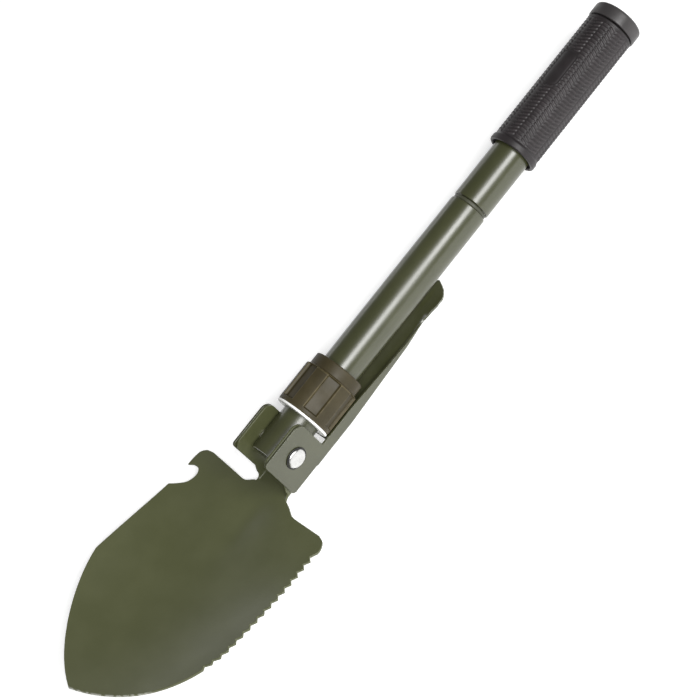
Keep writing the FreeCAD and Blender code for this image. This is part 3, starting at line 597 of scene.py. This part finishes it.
blade_loop = blade_outline()
blade_grids = [grid(-51, 51, 2.2, -145, -22, 1.9), grid(-12, 12, 1.1, -24, -8, 0.7)]
for side in (-1, 1):
    fold = sorted((side * BLADE_FOLD, side * (BLADE_FOLD + BLADE_ARC)))
    blade_grids.append(grid(fold[0], fold[1], 0.25, -18, -8.0, 0.6))
    wall = sorted((side * (BLADE_FOLD + BLADE_ARC + 0.6), side * (blade_ear(EAR) + 1)))
    blade_grids.append(grid(wall[0], wall[1], 2.0, -18, 13, 1.6))
sheet_metal("blade_steel", [p[:2] for p in blade_loop], blade_surface, SHEET, blade_grids,
            BLADE_OLIVE_LIT, "blade", ("blade",), [p[2] for p in blade_loop])

# ---------------------------------------------------------------- pick

PICK_INNER = -15.8
PICK_TIP = 109.2
PICK_LINES = (30.0, 74.0, 92.0)
PICK_WALL_LINES = (33.0, 60.0, 92.0)


def pick_inner_half(y):
    return np.interp(y, PICK_LINES, (11.15, 8.9, 6.6))


def pick_wall_top(y):
    return np.interp(y, PICK_WALL_LINES, (-9.2, -12.5, PICK_INNER))


def pick_surface(s, y):
    angle = math.pi / 2 * (1 - smoothstep(y, 82.0, 94.0))
    fold_line = pick_inner_half(y) - FOLD_INSIDE
    across, up = folded(s, fold_line, np.maximum(angle, 1e-4), FOLD_INSIDE)
    crease = 0.5 * smoothstep(y, 86.0, 98.0) * np.exp(-(across / 1.6) ** 2)
    crease = crease * (1 - smoothstep(y, 100.0, PICK_TIP))
    return np.stack([across, y, PICK_INNER + up + crease], 1)


def pick_wall(up, y=0.0):
    """Pattern position of a height on the pick's walls and ears."""
    fold_line = float(pick_inner_half(y)) - FOLD_INSIDE
    return fold_line + FOLD_INSIDE * math.pi / 2 + up - PICK_INNER - FOLD_INSIDE


def pick_half():
    top = []
    for y in np.linspace(16.2, 86.0, 44):
        top.append((pick_wall(float(pick_wall_top(y)), y), y))
    tail = through([top[-1], (8.0, 90.5), (8.0, 94.0), (8.6, 99.0), (8.2, 102.8),
                    (5.6, 106.2)], 6)[1:]
    rounded = bent([(0.0, 16.5), (11.0, 16.5), (11.0, 4.7), (pick_wall(-15.2), 3.9),
                    (pick_wall(-15.2), -EAR), (pick_wall(EAR), -EAR), (pick_wall(EAR), EAR),
                    (pick_wall(-9.2), EAR), (pick_wall(-9.2), 16.2)],
                   [0, 1.2, 0.3, 0.3, 1.8, 1.8, EAR_ROUND, 0.7, 0])[:-1]
    return rounded + top + tail + [(2.8, 107.9)]


half_pick = [tuple(p) for p in pick_half()]
pick_loop = half_pick + [(0.0, PICK_TIP)] + [(-x, y) for x, y in half_pick[:0:-1]]
fine_pick = finely(pick_loop)
pick_grids = [grid(-42, 42, 1.9, -EAR, 17, 1.6), grid(-10, 10, 0.9, 80, PICK_TIP, 0.9)]
for y in np.arange(4.0, 96.0, 1.1):
    line = float(pick_inner_half(y)) - FOLD_INSIDE
    steps = np.concatenate([np.linspace(line - 0.1, line + FOLD_INSIDE * math.pi / 2 + 0.1, 6),
                            np.arange(line + 3.0, line + 10.0, 1.6)])
    centre_steps = np.arange(-line + 1.4, line - 1.0, 1.8)
    row = np.concatenate([-steps[::-1], centre_steps, steps])
    pick_grids.append(np.stack([row, np.full_like(row, y)], 1))
sheet_metal("pick_steel", fine_pick, pick_surface, SHEET, pick_grids, OLIVE, "pick",
            ("pick",),
            [0.2 + 0.25 * float(smoothstep(p[1], 94, 99)) for p in fine_pick])

# ---------------------------------------------------------------- tubes and screw joint

TUBE = 9.5
TUBE_INSIDE = 8.4
stub_end, lower_end = span("lower_tube")
upper_start, upper_end = span("upper_tube")
collar_start, collar_end = span("locking_collar")


def tube_profile(start, end, start_round, end_round):
    return sliced(bent([(TUBE_INSIDE, start), (TUBE, start), (TUBE, end), (TUBE_INSIDE, end)],
                       [0.35, start_round, end_round, 0.2]), 2.0)


def collar_thread(angle, radius, along, worn):
    """A shallow rolled thread on the lower tube, under the collar."""
    zone = smoothstep(along, collar_start + 1.6, collar_start + 3.4)
    zone = zone * (1 - smoothstep(along, collar_end - 4.5, collar_end - 2.5))
    wave = 0.5 - 0.5 * np.cos(2 * math.pi * along / 2.0 - angle)
    outside = (radius > TUBE - 0.01) & (zone > 0)
    return radius - np.where(outside, 0.34 * zone * wave, 0.0), along, worn


def thread_rows(start, end, profile, pitch):
    """Adds fine rows to the long outer run so that a thread can be cut in it."""
    out = []
    for a, b in zip(profile, list(profile[1:]) + [profile[0]]):
        out.append(a)
        outer = a[0] > TUBE - 0.01 and b[0] > TUBE - 0.01
        if outer and b[1] > start and a[1] < end:
            count = int(math.ceil(abs(b[1] - a[1]) / (pitch / 8)))
            out += [a + (b - a) * k / count for k in range(1, count)]
    return out


lower_profile = thread_rows(collar_start, collar_end,
                            tube_profile(stub_end, lower_end, 0.45, 0.9), 2.0)
# The outer rim of the stub's open end is painted light, in bare-steel colour.
stub_lip_lightened = [0.9 if abs(p[1] - stub_end) < 0.3 and p[0] > 8.7 else 0.0 for p in lower_profile]
revolved("lower_tube_steel", lower_profile, OLIVE, "handle", ("lower_tube",),
         160, shape=collar_thread, wear=stub_lip_lightened, sharp=None)
upper_profile = tube_profile(upper_start, upper_end, 0.9, 0.2)
revolved("upper_tube_steel", upper_profile, OLIVE, "upper_handle", ("upper_tube",),
         160, sharp=None)


def cut_thread(crest, pitch, depth, start, end):
    """A shape function for a right-handed thread on an outer cylinder."""
    def shape(angle, radius, along, worn):
        zone = smoothstep(along, start, start + pitch)
        zone = zone * (1 - smoothstep(along, end - pitch * 0.6, end))
        phase = along / pitch - angle / (2 * math.pi)
        wave = np.abs((phase % 1.0) - 0.5) * 2
        wave = np.clip(wave * 1.35 - 0.15, 0, 1)
        on = np.abs(radius - crest) < 0.02
        cut = np.where(on, depth * zone * wave, 0.0)
        return radius - cut, along, worn + np.where(on, 0.4 * zone, 0)
    return shape


def threaded(profile, radius, start, end, pitch):
    """Cuts one long run of a profile into the fine steps that a thread needs."""
    out = []
    for a, b in zip(profile, list(profile[1:]) + [profile[0]]):
        a, b = np.array(a, float), np.array(b, float)
        out.append(a)
        if abs(a[0] - radius) < 0.02 and abs(b[0] - radius) < 0.02 and abs(b[1] - a[1]) > 2:
            count = int(math.ceil(abs(b[1] - a[1]) / (pitch / 10)))
            out += [a + (b - a) * k / count for k in range(1, count)]
    return out


stud_start, stud_end = span("joint_stud")
stud_profile = threaded(bent([(4.4, stud_start), (8.38, stud_start), (8.38, lower_end), (6.2, lower_end),
                              (6.2, stud_end), (4.4, stud_end)], [0, 0.3, 0, 0, 0.6, 0.3]),
                        6.2, lower_end, stud_end, 1.5)
revolved("joint_stud_steel", stud_profile, THREAD_STEEL, "handle", ("joint_stud",),
         96, shape=cut_thread(6.2, 1.5, 0.55, lower_end + 1.8, stud_end), sharp=None)
socket_start, socket_end = span("joint_socket")
revolved("joint_socket_steel", sliced(bent([(6.28, socket_start), (8.38, socket_start), (8.38, socket_end),
                                     (6.28, socket_end)], [0.5, 0.2, 0.2, 0.3]), 3.0),
         THREAD_STEEL, "upper_handle", ("joint_socket",), 96)
seal_start, seal_end = span("joint_seal_ring")
revolved("joint_seal_rubber", bent([(6.28, seal_start), (8.8, seal_start), (8.8, seal_end), (6.28, seal_end)],
                                   [0.2, 0.6, 0.6, 0.2]),
         JOINT_SEAL, "seal", ("joint_seal_ring",), 96)

# ---------------------------------------------------------------- pivot rivet and its washers

washer_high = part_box("rivet_washers")[1]
WASHER_FACE = (washer_high.x - PIVOT.x) / MM


def sideways(name, profile, material, body, stands_for=(), turns=72, wear=None, closed=False):
    """A turned piece round the pivot's own axis, given as (radius, across)."""
    angles = np.linspace(0, 2 * math.pi, turns, endpoint=False)
    points, worn = [], []
    for number, (radius, across) in enumerate(profile):
        for a in angles:
            points.append((across, radius * math.sin(a), radius * math.cos(a)))
            worn.append(wear[number] if wear else 0.0)
    faces = []
    rings = len(profile)
    for i in range(rings if closed else rings - 1):
        j = (i + 1) % rings
        for k in range(turns):
            m = (k + 1) % turns
            faces.append((i * turns + k, i * turns + m, j * turns + m, j * turns + k))
    if not closed:
        faces.append(tuple(range(turns)))
        faces.append(tuple(range((rings - 1) * turns, rings * turns))[::-1])
    return built(name, points, faces, material, body, stands_for, worn, sharp=40)


dome = [(4.75, WASHER_FACE), (4.8, WASHER_FACE + 0.25), (4.62, WASHER_FACE + 0.55),
        (4.15, WASHER_FACE + 0.86), (3.4, WASHER_FACE + 1.05), (2.4, WASHER_FACE + 1.13),
        (1.75, WASHER_FACE + 1.12), (1.2, WASHER_FACE + 0.98), (0.6, WASHER_FACE + 0.92),
        (0.02, WASHER_FACE + 0.90)]
rivet_profile = [(r, -x) for r, x in dome[::-1]] + [(3.0, -WASHER_FACE), (3.0, WASHER_FACE)] + dome
sideways("rivet_bright", rivet_profile, RIVET_STEEL, "handle", ("pivot_rivet",))
for side in (-1, 1):
    face = [(3.06, WASHER_FACE - 0.5), (5.45, WASHER_FACE - 0.5), (5.6, WASHER_FACE - 0.38),
            (5.6, WASHER_FACE - 0.14), (5.45, WASHER_FACE), (3.06, WASHER_FACE)]
    washer = sideways("rivet_washer_" + ("right" if side > 0 else "left"),
                      [(r, side * x) for r, x in face], DARK_STEEL, "handle",
                      closed=True)
    if side > 0:
        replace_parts(washer, "rivet_washers")
bush = [(4.35, -9.75), (4.4, -9.6), (4.4, 9.6), (4.35, 9.75), (3.06, 9.75), (3.06, -9.75)]
sideways("pivot_bush_steel", bush, THREAD_STEEL, "handle", ("pivot_bush",),
         closed=True)

# ---------------------------------------------------------------- thrust washer and collar

washer_start, washer_end = span("thrust_washer")
revolved("thrust_washer_nylon", bent([(9.58, washer_start), (14.0, washer_start), (14.0, washer_end),
                                      (9.58, washer_end)], [0.2, 0.35, 0.35, 0.2]),
         NYLON, "washer", ("thrust_washer",), 128)

RIB = 14.2
SHOULDER = 12.9
FLUTE_FLOOR = 12.3
FLUTE_HALF = 3.7
FOOT_BAND = 2.2
rib_end = collar_start + 20.9
flute_centres = math.radians(46.0)


def fluted(angle, radius, along, worn):
    """Sinks six flat-bottomed flutes with soft corners and rounded ends in the ribbed part, and lightens the
    flutes' edges as a painted highlight.
    """
    turn = (angle - flute_centres + math.pi / 6) % (math.pi / 3) - math.pi / 6
    aside = RIB * np.sin(np.abs(turn))
    taper = smoothstep(along, collar_start + FOOT_BAND - 0.2, collar_start + FOOT_BAND + 0.55)
    taper = taper * (1 - smoothstep(along, rib_end - 0.5, rib_end + 0.1))
    into = 1 - smoothstep(aside, FLUTE_HALF - 0.18, FLUTE_HALF + 0.32)
    floor = FLUTE_FLOOR / np.cos(turn) + 0.12
    on = radius > RIB - 0.9
    deep = np.where(on, into * taper, 0.0)
    new = radius + (np.minimum(floor, radius) - radius) * deep
    # The band along each flute's edge is added to the wear attribute, which lightens it: a painted highlight,
    # not wear.
    edge = np.exp(-((aside - FLUTE_HALF - 0.33) / 0.28) ** 2) * np.where(on, taper, 0.0)
    return new, along, np.clip(worn + 0.55 * edge, 0, 1)


collar_profile = bent([(9.58, collar_start), (RIB, collar_start), (RIB, rib_end),
                       (SHOULDER, rib_end + 0.7), (SHOULDER, collar_end), (9.58, collar_end)],
                      [0.4, 0.6, 0.5, 0.4, 0.8, 0.4], 5)
collar_rows = []
for a, b in zip(collar_profile, collar_profile[1:] + collar_profile[:1]):
    collar_rows.append(a)
    if a[0] > RIB - 0.01 and b[0] > RIB - 0.01:
        marks = np.concatenate([np.arange(0.15, 3.4, 0.15), np.arange(3.4, 19.0, 1.2),
                                np.arange(19.0, 20.9, 0.12)])
        for mark in marks:
            place = collar_start + mark
            if a[1] < place < b[1] - 0.05:
                collar_rows.append(np.array([RIB, place]))
# The rib corners at both ends of the ribbed part are lightened through the wear attribute: painted highlights,
# not wear.
collar_edge_highlight = [0.35 if abs(p[1] - rib_end) < 0.5 and p[0] > SHOULDER + 0.5 else
               0.25 if abs(p[1] - collar_start) < 0.5 and p[0] > 13.0 else 0.0 for p in collar_rows]
revolved("collar_plastic", collar_rows, COLLAR, "collar", ("locking_collar",),
         540, shape=fluted, wear=collar_edge_highlight, sharp=None)

# ---------------------------------------------------------------- grip

grip_start, grip_end = span("grip_sleeve")
GRIP_RADIUS = 12.2
LIP_RADIUS = 12.6
LIP_END = grip_start + 3.6
COLUMNS = 20
BAR_PITCH = 1.95
PAD_MIDDLE = grip_start + 45.0
PAD_HALF = (10.0, 4.9)


def pad_distance(angle, along):
    """Signed distance to the edge of the plain rounded pad on the grip's top."""
    aside = (((angle + math.pi) % (2 * math.pi)) - math.pi) * GRIP_RADIUS
    corner = 3.0
    x = np.abs(along - PAD_MIDDLE) - (PAD_HALF[0] - corner)
    y = np.abs(aside) - (PAD_HALF[1] - corner)
    return np.hypot(np.maximum(x, 0), np.maximum(y, 0)) + np.minimum(np.maximum(x, y), 0) - corner


def woven(angle, radius, along, worn):
    """Raised short bars in staggered columns, with a plain pad and plain ends."""
    column = angle / (2 * math.pi) * COLUMNS
    number = np.floor(column)
    odd = number % 2
    aside = (column - number - 0.5) * (2 * math.pi * GRIP_RADIUS / COLUMNS)
    slant = np.where(odd > 0, 0.0, np.where((number / 2) % 2 > 0.9, 0.42, -0.42))
    along_bar = along + aside * slant
    place = along_bar / BAR_PITCH + 0.5 * odd
    row = np.abs((place % 1.0) - 0.5) * BAR_PITCH
    length = np.where(odd > 0, 1.75, 1.55)
    width = np.where(odd > 0, 0.50, 0.56)
    bar = np.hypot(row / width, np.maximum(np.abs(aside) - length + 0.6, 0) / 0.62)
    height = 0.40 * np.clip(1.28 - bar ** 2, 0, 1) ** 0.7
    field = smoothstep(along, LIP_END + 0.4, LIP_END + 1.4)
    field = field * (1 - smoothstep(along, grip_end - 2.6, grip_end - 1.6))
    edge = pad_distance(angle, along)
    field = field * smoothstep(edge, 0.35, 0.8)
    on = (radius > GRIP_RADIUS - 0.6) & (along > LIP_END - 0.1)
    ring = 0.22 * np.exp(-((edge - 0.05) / 0.32) ** 2)
    swell = 0.16 * smoothstep(-edge, 0.3, 1.4)
    sunk = np.where(on, -0.40 * smoothstep(along, LIP_END - 0.1, LIP_END + 0.5)
                    * (1 - smoothstep(along, grip_end - 1.6, grip_end - 1.1)), 0.0)
    raised = np.where(on, height * field + ring + swell, 0.0)
    # The raised bar tops are lightened in proportion to their height.
    lighter_on_bar_tops = np.clip(worn + np.where(on, 0.35 * height * field / 0.4, 0), 0, 1)
    return radius + sunk + np.minimum(raised, 0.40), along, lighter_on_bar_tops


grip_profile = bent([(9.52, grip_start + 3.0), (10.8, grip_start + 3.0), (10.8, grip_start),
                     (LIP_RADIUS, grip_start), (LIP_RADIUS, LIP_END - 0.8), (GRIP_RADIUS, LIP_END),
                     (GRIP_RADIUS, grip_end), (9.52, grip_end)],
                    [0, 0, 0.6, 0.95, 0.5, 0.3, 0.7, 0], 6)
grip_rows = []
for a, b in zip(grip_profile, grip_profile[1:] + grip_profile[:1]):
    grip_rows.append(a)
    if abs(a[0] - GRIP_RADIUS) < 0.02 and abs(b[0] - GRIP_RADIUS) < 0.02 and b[1] - a[1] > 5:
        count = int((b[1] - a[1]) / 0.24)
        grip_rows += [a + (b - a) * k / count for k in range(1, count)]
revolved("grip_rubber", grip_rows, GRIP, "upper_handle", ("grip_sleeve",),
         320, shape=woven, sharp=None)

# ---------------------------------------------------------------- end cap and its compass

cap_low, cap_end = span("end_cap")
cap_under = cap_low + 9.0
CAP_RADIUS = 12.7
STEM = 7.02
cap_profile = threaded(bent([
    (5.4, cap_low), (STEM, cap_low), (STEM, cap_under), (CAP_RADIUS, cap_under), (CAP_RADIUS, cap_end),
    (9.3, cap_end), (9.3, cap_end - 5.0), (0.02, cap_end - 5.0), (0.02, cap_under), (5.4, cap_under)],
    [0.2, 0.4, 0.2, 0.6, 1.5, 0.3, 0.1, 0, 0, 0.2], 7), STEM, cap_low, cap_under, 1.5)
revolved("end_cap_plastic", sliced(cap_profile, 3.0), CAP, "cap", ("end_cap",), 128,
         shape=cut_thread(STEM, 1.5, 0.5, cap_low + 0.2, cap_under - 1.0))
revolved("cap_socket_plastic", bent([
    (7.1, span("cap_socket")[0]), (8.38, span("cap_socket")[0]), (8.38, upper_end), (9.5, upper_end),
    (9.5, span("cap_socket")[1]), (7.1, span("cap_socket")[1])], [0.3, 0.2, 0, 0.1, 0.3, 0.4]),
    CAP, "upper_handle", ("cap_socket",), 96)
ring_start, ring_end = span("cap_o_ring")
ring_middle = (ring_start + ring_end) / 2
revolved("cap_o_ring_rubber", [(8.1 + 0.7 * math.cos(t), ring_middle + 0.7 * math.sin(t))
                               for t in np.linspace(0, 2 * math.pi, 20, endpoint=False)],
         SEAL, "o_ring", ("cap_o_ring",), 96)

case_start, case_end = span("compass_case")
revolved("compass_case_plastic", bent([
    (0.02, case_start), (9.25, case_start), (9.25, case_end), (8.65, case_end),
    (8.65, case_start + 0.6), (0.02, case_start + 0.6)], [0, 0.2, 0.2, 0.15, 0.1, 0]),
    CAP, "cap", ("compass_case",), 96)
dial_start, dial_end = span("compass_dial")
revolved("compass_dial_card", bent([(0.02, dial_start), (8.63, dial_start), (8.63, dial_end),
                                    (0.02, dial_end)], [0, 0.08, 0.08, 0]),
         DIAL, "cap", ("compass_dial",), 96)
lens_start, lens_end = span("compass_lens")
lens_profile = [(0.02, lens_start), (8.4, lens_start), (8.63, lens_start + 0.2), (8.63, lens_end - 0.35),
                (8.3, lens_end - 0.22), (6.0, lens_end - 0.1), (3.0, lens_end - 0.03), (0.02, lens_end)]
revolved("compass_lens_clear", lens_profile, LENS, "cap", ("compass_lens",), 96)


def dial_marks():
    """Raised ink ticks round the dial, longer at the quarters, and a north arrow."""
    points, faces = [], []
    top = dial_end + 0.05
    base = dial_end - 0.02

    def prism(flat):
        start = len(points)
        count = len(flat)
        for height in (base, top):
            points.extend((x, height, z) for x, z in flat)
        faces.append(tuple(range(start, start + count)))
        faces.append(tuple(range(start + count, start + 2 * count))[::-1])
        for k in range(count):
            m = (k + 1) % count
            faces.append((start + k, start + k + count, start + m + count, start + m))

    for number in range(36):
        turn = math.radians(number * 10)
        inner = 6.4 if number % 9 == 0 else 7.1 if number % 3 == 0 else 7.5
        half = 0.16 if number % 9 == 0 else 0.08
        d = (math.sin(turn), math.cos(turn))
        e = (d[1], -d[0])
        prism([(d[0] * r + e[0] * w, d[1] * r + e[1] * w)
               for r, w in ((inner, -half), (8.1, -half), (8.1, half), (inner, half))])
    prism([(-0.9, 4.6), (0.0, 5.9), (0.9, 4.6), (0.0, 4.95)])
    return points, faces


tick_points, tick_faces = dial_marks()
built("compass_marks", tick_points, tick_faces, INK, "cap", sharp=20)
pin_start, pin_end = span("compass_pivot")
revolved("compass_pin", [(0.02, pin_start), (0.9, pin_start), (0.88, pin_start + 0.2), (0.4, pin_start + 0.32),
                         (0.25, pin_start + 0.6), (0.22, pin_end - 0.3), (0.05, pin_end)],
         BRASS, "cap", ("compass_pivot",), 32)


def needle_half(toward, name, material):
    """One half of the needle: a flat arrow blade."""
    start, end = span("compass_needle")
    flat = [(-1.4, 0.0), (0.0, 7.0 * toward), (1.4, 0.0), (0.34, 0.0), (0.24, 0.24 * toward),
            (0.0, 0.34 * toward), (-0.24, 0.24 * toward), (-0.34, 0.0)]
    points = [(x, start, z) for x, z in flat] + [(x, end, z) for x, z in flat]
    count = len(flat)
    faces = [tuple(range(count)), tuple(range(count, 2 * count))[::-1]]
    faces += [(k, k + count, (k + 1) % count + count, (k + 1) % count) for k in range(count)]
    return built(name, points, faces, material, "needle", sharp=20)


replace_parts(needle_half(1, "needle_north", NEEDLE), "compass_needle")
needle_half(-1, "needle_south", bare_metal("needle_plate", (0.8, 0.8, 0.8), 0.3))

# ---------------------------------------------------------------- floor, light and camera

floor_mesh = bpy.data.meshes.new("floor")
reach = 6.0
floor_mesh.from_pydata([(-reach, -reach, 0), (reach, -reach, 0), (reach, reach, 0),
                        (-reach, reach, 0)],
                       [], [(0, 1, 2, 3)])
floor = bpy.data.objects.new("floor", floor_mesh)
bpy.context.scene.collection.objects.link(floor)
floor_look = Nodes("pale_floor")
floor_look.set(Roughness=0.9, Specular_IOR_Level=0.1, Emission_Strength=0.50)
floor_look.shader.inputs["Emission Color"].default_value = (1.0, 1.0, 1.0, 1.0)
floor_tint = floor_look.mix(floor_look.noise(8.0), (0.86, 0.86, 0.86), (0.88, 0.88, 0.88))
floor_look.to("Base Color", floor_tint)
floor_mesh.materials.append(floor_look.material)
floor.location.z = -0.0002  # just clear of the pick's flat back, which lies at height 0

world = bpy.data.worlds.new("studio")
bpy.context.scene.world = world
world.use_nodes = True
world.node_tree.nodes["Background"].inputs["Color"].default_value = (1.0, 1.0, 1.0, 1.0)
world.node_tree.nodes["Background"].inputs["Strength"].default_value = 0.13

CENTRE = (Vector(cad_box[0]) + Vector(cad_box[1])) / 2


def softbox(name, tilt, swing, distance, width, length, power):
    """A soft rectangular light round the handle axis: tilt from straight up towards +X, degrees."""
    lamp = bpy.data.lights.new(name, "AREA")
    lamp.shape = "RECTANGLE"
    lamp.size = width
    lamp.size_y = length
    lamp.energy = power
    light = bpy.data.objects.new(name, lamp)
    bpy.context.scene.collection.objects.link(light)
    t, w = math.radians(tilt), math.radians(swing)
    away = Vector((math.sin(t) * math.cos(w), math.sin(w), math.cos(t) * math.cos(w)))
    light.location = CENTRE + away * distance
    along = Vector((0, 1, 0))
    side = along.cross(away).normalized()
    up = away.cross(side)
    light.matrix_world = Matrix((
        (side.x, up.x, away.x, light.location.x), (side.y, up.y, away.y, light.location.y),
        (side.z, up.z, away.z, light.location.z), (0, 0, 0, 1)))
    return light


softbox("key_softbox", 47, 0, 1.15, 0.46, 1.3, 21.0)
softbox("left_panel", -74, 0, 1.3, 0.24, 1.4, 2.6)
softbox("right_panel", 100, 0, 1.2, 0.30, 1.2, 0.7)

camera = bpy.data.cameras.new("camera")
camera.sensor_width = 36.0
camera.lens = 101.0
camera.clip_start = 0.05
camera.clip_end = 30.0
eye = bpy.data.objects.new("camera", camera)
bpy.context.scene.collection.objects.link(eye)
right = Vector((0.6422, 0.6176, -0.4541)).normalized()
back = Vector((0.6504, -0.1256, 0.7491)).normalized()
up = back.cross(right).normalized()
right = up.cross(back)
place = PIVOT + Vector((588.35, -58.75, 680.73)) * MM
eye.matrix_world = Matrix((
    (right.x, up.x, back.x, place.x), (right.y, up.y, back.y, place.y),
    (right.z, up.z, back.z, place.z), (0, 0, 0, 1)))
bpy.context.scene.camera = eye
bpy.context.scene.view_settings.view_transform = "Standard"
bpy.context.scene.view_settings.look = "None"
